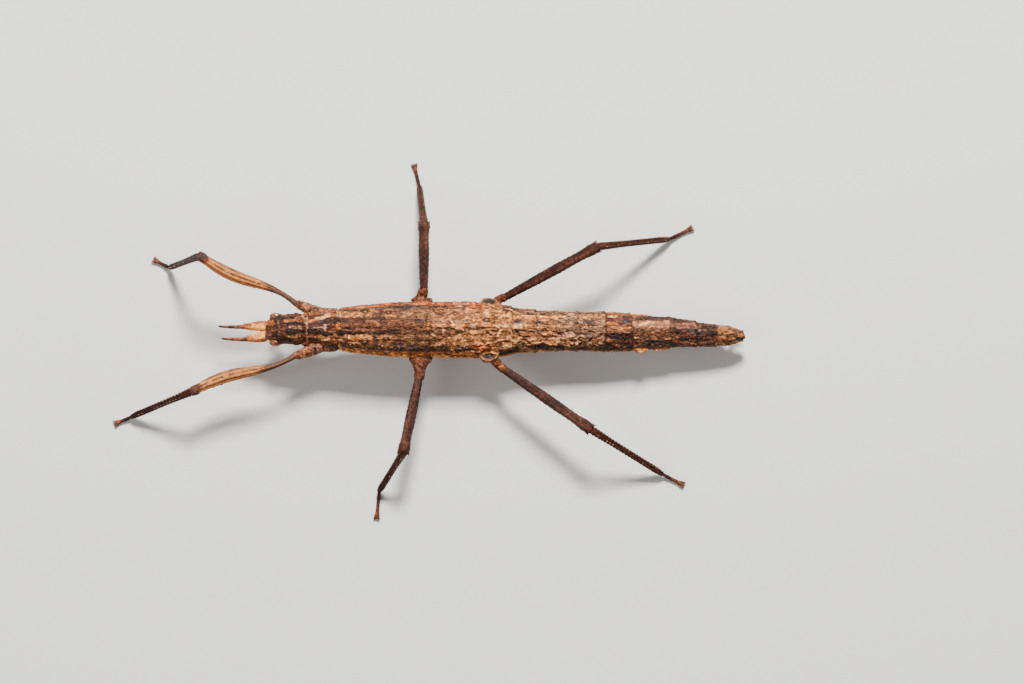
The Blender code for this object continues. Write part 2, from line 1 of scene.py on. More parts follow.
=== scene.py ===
import math
import bpy
import bmesh
import numpy as np
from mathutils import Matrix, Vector


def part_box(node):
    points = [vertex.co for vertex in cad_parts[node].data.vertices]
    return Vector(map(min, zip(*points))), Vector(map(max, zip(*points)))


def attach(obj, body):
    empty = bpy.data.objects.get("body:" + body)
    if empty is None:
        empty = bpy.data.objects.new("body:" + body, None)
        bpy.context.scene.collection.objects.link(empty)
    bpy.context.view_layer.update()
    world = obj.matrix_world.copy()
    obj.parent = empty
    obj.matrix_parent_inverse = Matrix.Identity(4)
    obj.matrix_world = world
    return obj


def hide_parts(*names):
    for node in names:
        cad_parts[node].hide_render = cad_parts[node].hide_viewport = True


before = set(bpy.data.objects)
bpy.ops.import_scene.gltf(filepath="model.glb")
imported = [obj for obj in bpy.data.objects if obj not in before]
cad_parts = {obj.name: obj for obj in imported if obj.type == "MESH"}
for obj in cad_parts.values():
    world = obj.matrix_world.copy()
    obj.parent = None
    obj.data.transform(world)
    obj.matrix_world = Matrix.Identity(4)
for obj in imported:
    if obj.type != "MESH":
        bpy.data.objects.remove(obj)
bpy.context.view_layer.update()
mm = 0.001  # every length below is in millimetres until its mesh is made
up = np.array([0.0, 0.0, 1.0])
print("frame loaded:", len(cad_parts), "nodes")


# small maths that every piece shares

def meshPoints(mesh):
    flat = np.empty(len(mesh.vertices) * 3, dtype=np.float32)
    mesh.vertices.foreach_get("co", flat)
    return flat.reshape(-1, 3).astype(np.float64) / mm


def nodePoints(node):
    return meshPoints(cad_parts[node].data)


def nodeBox(node):
    return (np.array(corner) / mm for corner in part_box(node))


def endOf(points, way, depth):
    # the middle of the points near the front (-1) or hind (1) end of a node
    along = points[:, 0] * way
    return points[along > along.max() - depth].mean(axis=0)


def unit(vector):
    return vector / np.linalg.norm(vector)


def sideSign(hand):
    return 1.0 if hand == "right" else -1.0


def smoothStep(low, high, value):
    share = np.clip((value - low) / (high - low), 0.0, 1.0)
    return share * share * (3.0 - 2.0 * share)


def band(value, low, high, soft):
    return smoothStep(low - soft, low + soft, value) * (1.0 - smoothStep(high - soft, high + soft, value))


def peak(value, centre, width):
    return np.exp(-((value - centre) / width) ** 2)


def easeTable(rows, at):
    # reads every column of a table at many places, with smooth slopes through its rows
    table = np.array(rows, dtype=float)
    keys = table[:, 0]
    at = np.clip(np.asarray(at, dtype=float), keys[0], keys[-1])
    low = np.clip(np.searchsorted(keys, at, side="right") - 1, 0, len(keys) - 2)
    slopes = np.gradient(table[:, 1:], keys, axis=0)
    step = (keys[low + 1] - keys[low])[:, None]
    share = (at - keys[low])[:, None] / step
    square = share * share
    cube = square * share
    return (table[low, 1:] * (2.0 * cube - 3.0 * square + 1.0)
            + slopes[low] * step * (cube - 2.0 * square + share)
            + table[low + 1, 1:] * (3.0 * square - 2.0 * cube) + slopes[low + 1] * step * (cube - square))


cellPrimes = (374761393, 668265263, 2147483647, 974711, 1274126177, 2246822519)
octaveLoss = 0.55  # how much weaker each finer octave of noise is
capSteps = 6  # rings that round the end of a tube


def cellRandom(cells, seed, channel):
    # a repeatable number from 0 to 1 for every whole-numbered cell
    key = sum(cells[..., i] * cellPrimes[i] for i in range(3))
    key = (key + seed * cellPrimes[3] + channel * cellPrimes[4]) & 0xFFFFFFFF
    key = ((key ^ (key >> 13)) * cellPrimes[4]) & 0xFFFFFFFF
    key = ((key ^ (key >> 16)) * cellPrimes[5]) & 0xFFFFFFFF
    return ((key ^ (key >> 15)) & 0xFFFFFF) / float(0xFFFFFF)


def softNoise(points, size, seed, octaves=1):
    total = 0.0
    weight = 1.0
    reach = 0.0
    for octave in range(octaves):
        spots = points / (size / 2.0 ** octave)
        cells = np.floor(spots).astype(np.int64)
        share = spots - cells
        share = share * share * (3.0 - 2.0 * share)
        value = 0.0
        for corner in range(8):
            offset = np.array([corner & 1, (corner >> 1) & 1, corner >> 2])
            near = np.prod(np.where(offset == 1, share, 1.0 - share), axis=-1)
            value = value + near * cellRandom(cells + offset, seed + octave, 0)
        total = total + (value * 2.0 - 1.0) * weight
        reach += weight
        weight *= octaveLoss
    return total / reach


def speckles(grid, size, seed, low, high):
    return smoothStep(low, high, softNoise(grid, size, seed, 2))


def pebbles(points, size, seed, spread=0.75):
    # 0 at the middle of a scattered grain, 1 between grains, and each grain's own number
    spots = points / size
    cells = np.floor(spots).astype(np.int64)
    best = np.full(points.shape[:-1], np.inf)
    own = np.zeros(points.shape[:-1])
    for corner in range(27):
        cell = cells + np.array([corner % 3 - 1, corner // 3 % 3 - 1, corner // 9 - 1])
        centre = cell + np.stack([cellRandom(cell, seed, c) for c in (1, 2, 3)], axis=-1)
        far = np.linalg.norm(spots - centre, axis=-1)
        own = np.where(far < best, cellRandom(cell, seed, 4), own)
        best = np.minimum(far, best)
    return np.clip(best / spread, 0.0, 1.0), own


def drawnOut(grid, lengthwise, sideways=1.0):
    # noise over these points runs along the body
    return grid * np.array([lengthwise, sideways, sideways])


# hues of the cuticle, in linear colour
hues = {
    "black": (0.007, 0.005, 0.005), "darkBrown": (0.032, 0.012, 0.007), "darkRed": (0.030, 0.008, 0.007),
    "redBrown": (0.120, 0.030, 0.014), "brown": (0.165, 0.055, 0.021), "olive": (0.270, 0.108, 0.036),
    "greyTan": (0.300, 0.140, 0.070), "slate": (0.052, 0.034, 0.032), "plum": (0.120, 0.070, 0.058),
    "tan": (0.440, 0.155, 0.045), "orangeTan": (0.580, 0.155, 0.028), "orange": (0.480, 0.080, 0.010),
    "paleOrange": (0.780, 0.245, 0.055), "cream": (0.900, 0.395, 0.140), "white": (0.900, 0.540, 0.310),
    "pinkTan": (0.520, 0.200, 0.098),
}


def ground(grid, hue, share=1.0):
    return np.broadcast_to(np.array(hues[hue]) * share, grid.shape).copy()


def tint(colour, *layers):
    # each layer is a mask, a hue and a strength, and lies over those before it
    for mask, hue, strength in layers:
        colour = colour + (np.array(hues[hue]) - colour) * np.clip(mask * strength, 0.0, 1.0)[..., None]
    return colour


# short ways to make and join nodes

def setSockets(tree, node, values):
    for socket, value in values:
        if isinstance(value, bpy.types.NodeSocket):
            tree.links.new(value, node.inputs[socket])
        else:
            node.inputs[socket].default_value = value


def addNode(tree, kind, values=(), **settings):
    node = tree.nodes.new(kind)
    for name, value in settings.items():
        setattr(node, name, value)
    setSockets(tree, node, values)
    return node


def makeCalc(tree):
    def calc(operation, first, second=0.0):
        return addNode(tree, "ShaderNodeMath", [(0, first), (1, second)], operation=operation).outputs[0]
    return calc


def noiseNode(tree, place, scale, detail, roughness=0.6):
    return addNode(tree, "ShaderNodeTexNoise", [("Vector", place), ("Scale", scale), ("Detail", detail),
                                                ("Roughness", roughness)]).outputs["Fac"]


def rangeNode(tree, value, low, high):
    # 0 below the low value, 1 above the high one, and a soft step between them
    return addNode(tree, "ShaderNodeMapRange", [("Value", value), ("From Min", low), ("From Max", high)],
                   interpolation_type="SMOOTHSTEP").outputs["Result"]


def bumpNode(tree, height, depth):
    return addNode(tree, "ShaderNodeBump", [("Height", height), ("Distance", depth * mm)]).outputs["Normal"]


def newMaterial(name):
    material = bpy.data.materials.new(name)
    material.use_nodes = True
    return material, material.node_tree, material.node_tree.nodes["Principled BSDF"]


# scales are per metre; the last two are the height of the bump, in millimetres, and the shine
grainLabels = ("Grain Scale", "Mottle", "Dullness", "Crease Scale", "Crease Strength", "Stretch")
finishes = {
    "bodyCuticle": (4600.0, 0.80, 0.50, 1900.0, 0.60, 0.50, 0.085, 0.20),
    "legCuticle": (5200.0, 0.50, 0.50, 2600.0, 0.14, 1.00, 0.030, 0.12),
    "antennaCuticle": (5200.0, 0.45, 0.45, 3000.0, 0.25, 0.45, 0.018, 0.20),
    "granuleCuticle": (6500.0, 0.50, 0.42, 3000.0, 0.00, 1.00, 0.012, 0.45),
    "clawHorn": (3000.0, 0.30, 0.25, 3000.0, 0.00, 1.00, 0.006, 0.55),
}


def makeGrainGroup():
    # the grain of a rough cuticle breaks a colour up, dulls it, gives it height, and paints shade and
    # highlights onto its relief
    group = bpy.data.node_groups.new("cuticleGrain", "ShaderNodeTree")
    group.interface.new_socket(name="Colour", in_out="INPUT", socket_type="NodeSocketColor")
    for label, value in zip(grainLabels, finishes["bodyCuticle"]):
        socket = group.interface.new_socket(name=label, in_out="INPUT", socket_type="NodeSocketFloat")
        socket.default_value = value
    for label, kind in (("Colour", "Color"), ("Roughness", "Float"), ("Height", "Float")):
        group.interface.new_socket(name=label, in_out="OUTPUT", socket_type="NodeSocket" + kind)
    given = group.nodes.new("NodeGroupInput").outputs
    calc = makeCalc(group)

    # noises: soft and fine grain, the folds that the creases follow, and what breaks the creases up
    place = addNode(group, "ShaderNodeTexCoord").outputs["Object"]
    along = addNode(group, "ShaderNodeCombineXYZ", [("X", given["Stretch"]), ("Y", 1.0), ("Z", 1.0)])
    stretched = addNode(group, "ShaderNodeVectorMath", [(0, place), (1, along.outputs[0])],
                        operation="MULTIPLY").outputs[0]
    broad = noiseNode(group, place, calc("MULTIPLY", given["Grain Scale"], 0.35), 3.0)
    fine = noiseNode(group, place, given["Grain Scale"], 4.0, 0.7)
    folds = noiseNode(group, stretched, given["Crease Scale"], 2.0, 0.5)
    nicks = noiseNode(group, stretched, calc("MULTIPLY", given["Crease Scale"], 2.3), 1.0, 0.5)
    grains = addNode(group, "ShaderNodeTexVoronoi", [("Vector", place),
                                                     ("Scale", calc("MULTIPLY", given["Grain Scale"], 1.3))])
    own = addNode(group, "ShaderNodeSeparateColor", [("Color", grains.outputs["Color"])]).outputs["Red"]

    # brightness: mottled, each grain its own, with painted shade along the creases and a painted highlight on
    # the crests between them
    shade = calc("ADD", calc("MULTIPLY", broad, 0.9), calc("MULTIPLY", fine, 1.1))
    shade = calc("ADD", shade, calc("MULTIPLY", own, 0.5))
    shade = calc("MULTIPLY", calc("SUBTRACT", shade, 1.25), given["Mottle"])
    shade = calc("MAXIMUM", calc("ADD", shade, 1.0), 0.25)
    crossing = calc("ABSOLUTE", calc("SUBTRACT", folds, 0.5))
    lines = calc("MULTIPLY", rangeNode(group, crossing, 0.0, 0.055), rangeNode(group, nicks, 0.30, 0.46))
    dark = calc("MULTIPLY", calc("SUBTRACT", 1.0, lines), given["Crease Strength"])
    shade = calc("MULTIPLY", shade, calc("SUBTRACT", 1.0, dark))
    crest = calc("MULTIPLY", rangeNode(group, folds, 0.54, 0.68), given["Crease Strength"])
    crestHighlight = calc("ADD", 1.0, calc("MULTIPLY", crest, 0.7))
    shade = calc("MULTIPLY", shade, crestHighlight)
    scaled = addNode(group, "ShaderNodeVectorMath", [(0, given["Colour"]), ("Scale", shade)],
                     operation="SCALE")
    dull = calc("ADD", given["Dullness"], calc("MULTIPLY", fine, 0.25))
    bead = calc("MULTIPLY", calc("SUBTRACT", 1.0, grains.outputs["Distance"]), 0.5)
    rise = calc("MULTIPLY", calc("ADD", lines, crest), 0.5)
    height = calc("ADD", bead, calc("MULTIPLY", fine, 0.8))
    setSockets(group, group.nodes.new("NodeGroupOutput"), [
        ("Colour", scaled.outputs["Vector"]), ("Roughness", calc("SUBTRACT", dull, 0.12)),
        ("Height", calc("ADD", height, rise))])
    return group


grainGroup = makeGrainGroup()


def makeCuticle(name, finish):
    # the colour comes from the piece's own markings, with the shade and highlights painted into them
    material, tree, shader = newMaterial(name)
    markings = addNode(tree, "ShaderNodeAttribute", attribute_name="markings").outputs["Color"]
    group = addNode(tree, "ShaderNodeGroup", node_tree=grainGroup)
    setSockets(tree, group, [("Colour", markings), *zip(grainLabels, finish)])
    depth, shine = finish[len(grainLabels):]
    setSockets(tree, shader, [
        ("Base Color", group.outputs["Colour"]), ("Roughness", group.outputs["Roughness"]),
        ("Normal", bumpNode(tree, group.outputs["Height"], depth)), ("Specular IOR Level", shine)])
    return material


# amber compound eye with streaks of dark pigment under a glossy coat
eyeFinish = {"pigment": ((0.36, (0.070, 0.018, 0.006, 1.0)), (0.66, (0.420, 0.120, 0.028, 1.0))),
             "streaks": 2600.0, "facets": 20000.0, "depth": 0.003, "roughness": 0.3, "coat": 0.6}


def makeEyeFinish():
    material, tree, shader = newMaterial("eyeAmber")
    place = addNode(tree, "ShaderNodeTexCoord").outputs["Object"]
    ramp = addNode(tree, "ShaderNodeValToRGB", [("Fac", noiseNode(tree, place, eyeFinish["streaks"], 3.0))])
    for element, stop in zip(ramp.color_ramp.elements, eyeFinish["pigment"]):
        element.position, element.color = stop
    facets = noiseNode(tree, place, eyeFinish["facets"], 2.0)
    rough = makeCalc(tree)("MULTIPLY", noiseNode(tree, place, 5000.0, 2.0), eyeFinish["roughness"])
    setSockets(tree, shader, [
        ("Base Color", ramp.outputs["Color"]), ("Normal", bumpNode(tree, facets, eyeFinish["depth"])),
        ("Roughness", rough), ("Coat Weight", eyeFinish["coat"]), ("Coat Roughness", 0.08)])
    return material


materials = {name: makeCuticle(name, finish) for name, finish in finishes.items()}
materials["eyeAmber"] = makeEyeFinish()
print("finishes made:", len(materials))


# turning rows of points into pieces

def newShell():
    return {"points": [], "faces": [], "colours": [], "count": 0}


def gridNormals(grid):
    # outward directions on a closed tube of points, from its neighbours along and around
    along = np.gradient(grid, axis=0)
    around = np.roll(grid, -1, axis=1) - np.roll(grid, 1, axis=1)
    normals = np.cross(along, around)
    normals /= np.maximum(np.linalg.norm(normals, axis=-1, keepdims=True), 1e-9)
    outward = grid - grid.mean(axis=1, keepdims=True)
    return normals * np.sign(np.sum(normals * outward, axis=-1).mean())


def capRings(ring, direction, depth, steps):
    # rings that shrink to a small last one, for a rounded end
    middle = ring.mean(axis=0)
    rings = []
    for i in range(1, steps + 1):
        angle = math.pi / 2.0 * i / (steps + 0.35)
        rings.append(middle + (ring - middle) * math.cos(angle) + direction * depth * math.sin(angle))
    return np.array(rings)


def addTube(shell, grid, colour, startDepth, endDepth, steps=capSteps):
    # one closed tube with rounded ends, its colours carried over them
    startWay = unit(grid[0].mean(axis=0) - grid[1].mean(axis=0))
    endWay = unit(grid[-1].mean(axis=0) - grid[-2].mean(axis=0))
    first = capRings(grid[0], startWay, startDepth, steps)[::-1]
    last = capRings(grid[-1], endWay, endDepth, steps)
    grid = np.concatenate([first, grid, last])
    colour = np.concatenate([np.repeat(colour[:1], steps, 0), colour, np.repeat(colour[-1:], steps, 0)])
    rows, around = grid.shape[:2]
    base = shell["count"]
    for row in range(rows - 1):
        low = base + row * around
        for i in range(around):
            j = (i + 1) % around
            shell["faces"].append((low + i, low + j, low + around + j, low + around + i))
    top = base + (rows - 1) * around
    shell["faces"].append(tuple(base + i for i in reversed(range(around))))
    shell["faces"].append(tuple(top + i for i in range(around)))
    shell["points"].append(grid.reshape(-1, 3))
    shell["colours"].append(colour.reshape(-1, 3))
    shell["count"] += rows * around


def addObject(name, data):
    holder = bpy.data.objects.new(name, data)
    bpy.context.scene.collection.objects.link(holder)
    return holder


def paint(mesh, colours):
    layer = mesh.color_attributes.new(name="markings", type="FLOAT_COLOR", domain="POINT")
    full = np.ones((len(mesh.vertices), 4), dtype=np.float32)
    full[:, :3] = np.clip(colours, 0.0, 1.0)
    layer.data.foreach_set("color", full.ravel())


def makePiece(name, shell, finish):
    mesh = bpy.data.meshes.new(name)
    mesh.from_pydata((np.concatenate(shell["points"]) * mm).tolist(), [], shell["faces"])
    shape = bmesh.new()
    shape.from_mesh(mesh)
    bmesh.ops.recalc_face_normals(shape, faces=shape.faces[:])
    shape.to_mesh(mesh)
    shape.free()
    mesh.shade_smooth()
    paint(mesh, np.concatenate(shell["colours"]))
    mesh.materials.append(materials[finish])
    return addObject(name, mesh)


def rideRoot(piece, nodes=()):
    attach(piece, "root")
    if nodes:
        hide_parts(*nodes)
    print(piece.name, "-", len(piece.data.polygons), "faces")


# camera: it looks down on the back, a little from the insect's left side
photoView = {"elevation": 78.0, "lens": 100.0, "sensor": 22.3, "mmPerPixel": 0.11, "width": 1024,
             "aim": (9.02, -0.74, 4.0), "keelLine": 1.7}


def makeCamera():
    camera = bpy.data.cameras.new("photoCamera")
    camera.lens = photoView["lens"]
    camera.sensor_width = photoView["sensor"]
    camera.clip_start = 0.01
    holder = addObject("photoCamera", camera)
    tilt = math.radians(photoView["elevation"])
    backward = np.array([0.0, -math.cos(tilt), math.sin(tilt)])
    distance = photoView["lens"] / photoView["sensor"] * photoView["width"] * photoView["mmPerPixel"]
    place = np.array(photoView["aim"]) + backward * distance
    holder.location = Vector(place * mm)
    holder.rotation_euler = (math.radians(90.0) - tilt, 0.0, 0.0)
    bpy.context.scene.camera = holder
    return place, backward, distance


cameraPlace, cameraBack, cameraDistance = makeCamera()


def seenOnBack(points):
    # how far along the body and across from the keel a point shows when seen from above
    upward = np.array([0.0, cameraBack[2], -cameraBack[1]])
    away = points - cameraPlace
    nearness = cameraDistance / -(away @ cameraBack)
    along = away[..., 0] * nearness + photoView["aim"][0]
    return along, (away @ upward) * nearness - photoView["keelLine"]


# body skin: one surface from the face to the tail

bodyShape = {
    # x, height of the side margin, half width, rise to the keel, depth below
    "stations": (
        (-13.7, 5.00, 1.50, 1.38, 1.35), (-12.0, 5.00, 1.86, 1.52, 1.50), (-10.1, 4.95, 2.32, 1.70, 1.65),
        (-7.6, 4.92, 2.63, 1.82, 1.80), (-3.3, 4.85, 2.95, 1.95, 1.90), (-0.3, 4.80, 2.98, 1.98, 1.95),
        (3.3, 4.68, 3.08, 2.00, 1.98), (7.0, 4.48, 3.00, 1.95, 1.92), (9.1, 4.32, 2.62, 1.80, 1.80),
        (13.5, 4.05, 2.22, 1.60, 1.65), (18.7, 3.72, 2.20, 1.50, 1.55), (22.2, 3.45, 2.03, 1.40, 1.45),
        (26.5, 3.10, 1.66, 1.22, 1.20), (29.4, 2.86, 1.38, 1.10, 0.90), (31.6, 2.66, 1.16, 0.95, 0.72),
        (32.9, 2.52, 1.08, 0.87, 0.62), (34.0, 2.44, 0.70, 0.66, 0.50), (34.7, 2.38, 0.30, 0.40, 0.34)),
    "headStations": (
        (-17.8, 4.55, 1.08, 0.62, 0.62), (-17.3, 4.66, 1.36, 0.94, 0.94), (-16.5, 4.84, 1.54, 1.20, 1.20),
        (-15.4, 4.98, 1.63, 1.34, 1.30), (-14.4, 5.04, 1.72, 1.36, 1.34), (-13.9, 5.02, 1.54, 1.26, 1.24)),
    # half sections from belly to back: place, share of the half width, share of the height
    "section": ((0.0, 0.00, -1.00), (1.0, 0.42, -0.97), (2.0, 0.78, -0.74), (3.0, 0.94, -0.36),
                (4.0, 1.00, 0.02), (4.6, 0.95, 0.18), (5.6, 0.76, 0.50), (6.7, 0.44, 0.78),
                (7.7, 0.13, 0.92), (8.2, 0.00, 0.97)),
    "headSection": ((0.0, 0.00, -1.00), (1.2, 0.45, -0.92), (2.3, 0.82, -0.62), (3.6, 1.00, -0.08),
                    (4.8, 0.93, 0.40), (5.8, 0.70, 0.76), (7.0, 0.34, 0.97), (8.2, 0.00, 1.00)),
    "marginPlace": 4.0, "backPlace": 8.2, "backPoints": 52, "bellyPoints": 22, "step": 0.095,
    "neck": -13.68, "neckBlend": (-13.95, -13.45), "medianJoint": 6.93,
    "flare": 0.055, "thoraxFlare": 0.0275, "flareLevel": 0.4, "flareStep": 0.14,
    "tailBend": (27.0, 32.0), "tailShift": -0.20,
    "tailNotch": {"depth": 0.30, "halfWidth": 0.17, "from": 33.9, "to": 34.7},
    "earLobe": {"x": 6.52, "length": 0.84, "width": 0.085, "height": 0.50, "turn": 1.18},
    "antennaCones": ((-17.55, 0.52, 4.90), (-17.55, -0.66, 4.90)),
    # flaps at the side margins: place along, side, half length, height
    "sideLobes": ((23.2, -1, 0.75, 0.36), (25.2, -1, 0.85, 0.14), (19.7, -1, 0.45, 0.12),
                  (20.9, -1, 0.65, 0.08), (23.3, 1, 0.85, 0.12), (26.6, 1, 0.45, 0.12),
                  (20.6, 1, 1.20, 0.06)),
}
thoraxNodes = ["prothorax", "mesothorax", "metathorax"]
plateNodes = thoraxNodes + ["abdomen_%d" % n for n in range(2, 11)]
plateFronts = [nodePoints(node)[:, 0].min() for node in plateNodes]
plateEnds = [nodePoints(node)[:, 0].max() for node in plateNodes]
# the joint behind each plate lies in the middle of the gap to the next one
joints = np.array([(end + front) / 2.0 for end, front in zip(plateEnds, plateFronts[1:])])
plateLimits = np.concatenate([[bodyShape["neck"]], joints, [plateEnds[-1]]])
bodyMiddle = (nodePoints("abdomen_4")[:, 1].min() + nodePoints("abdomen_4")[:, 1].max()) / 2.0
middleShift = np.array([0.0, bodyMiddle, 0.0])


def sectionSamples(name):
    # more places on the back than on the belly
    belly = np.linspace(0.0, bodyShape["marginPlace"], bodyShape["bellyPoints"], endpoint=False)
    back = np.linspace(bodyShape["marginPlace"], bodyShape["backPlace"], bodyShape["backPoints"])
    return easeTable(bodyShape[name], np.concatenate([belly, back]))


def plateFlare(x):
    # each ring widens to its hind margin, then steps in to the next one
    flares = np.array([bodyShape["thoraxFlare" if node in thoraxNodes else "flare"] for node in plateNodes])
    level = bodyShape["flareLevel"]
    number = np.clip(np.searchsorted(plateLimits, x, side="right") - 1, 0, len(plateNodes) - 1)
    share = np.clip((x - plateLimits[number]) / (plateLimits[number + 1] - plateLimits[number]), 0.0, 1.0)
    scale = 1.0 + flares[number] * (share * share - level)
    for joint, before, after in zip(joints, flares, flares[1:]):
        fading = (x >= joint) * (1.0 - smoothStep(joint, joint + bodyShape["flareStep"], x))
        scale += (before * (1.0 - level) + after * level) * fading
    return scale, number, share


def layRings(x, ring, section, scale=1.0):
    # closed rings, alike on both sides, from their height, half width, rise and depth
    height, half, rise, depth = ring.T[..., None]
    across = section[..., 0] * half * scale
    high = height + np.where(section[..., 1] > 0.0, rise, depth) * section[..., 1] * scale
    right = np.stack([np.broadcast_to(x[:, None], across.shape), across, high], axis=-1)
    return np.concatenate([right, right[:, -2:0:-1] * np.array([1.0, -1.0, 1.0])], axis=1)


def layBody():
    # the smooth skin before its relief, and the turn of each point: 0 at the belly line, 1 at the margin and
    # 2 at the keel
    start = bodyShape["headStations"][0][0]
    end = plateLimits[-1]
    x = np.linspace(start, end, int((end - start) / bodyShape["step"]) + 1)
    behindNeck = smoothStep(*bodyShape["neckBlend"], x)[:, None]
    ring = easeTable(bodyShape["headStations"], x) * (1.0 - behindNeck)
    ring += easeTable(bodyShape["stations"], x) * behindNeck
    section = sectionSamples("headSection")[None] * (1.0 - behindNeck)[..., None]
    section = section + sectionSamples("section")[None] * behindNeck[..., None]
    scale, number, share = plateFlare(x)
    grid = layRings(x, ring, section, scale[:, None] * behindNeck + 1.0 - behindNeck)
    belly = bodyShape["bellyPoints"]
    back = bodyShape["backPoints"]
    turn = np.concatenate([np.arange(belly) / belly, 1.0 + np.arange(back) / (back - 1.0)])
    turn = np.concatenate([turn, turn[-2:0:-1]])
    grid[..., 1] += bodyShape["tailShift"] * smoothStep(*bodyShape["tailBend"], grid[..., 0])
    return grid, np.broadcast_to(turn[None], grid.shape[:2]), number[:, None], share[:, None]


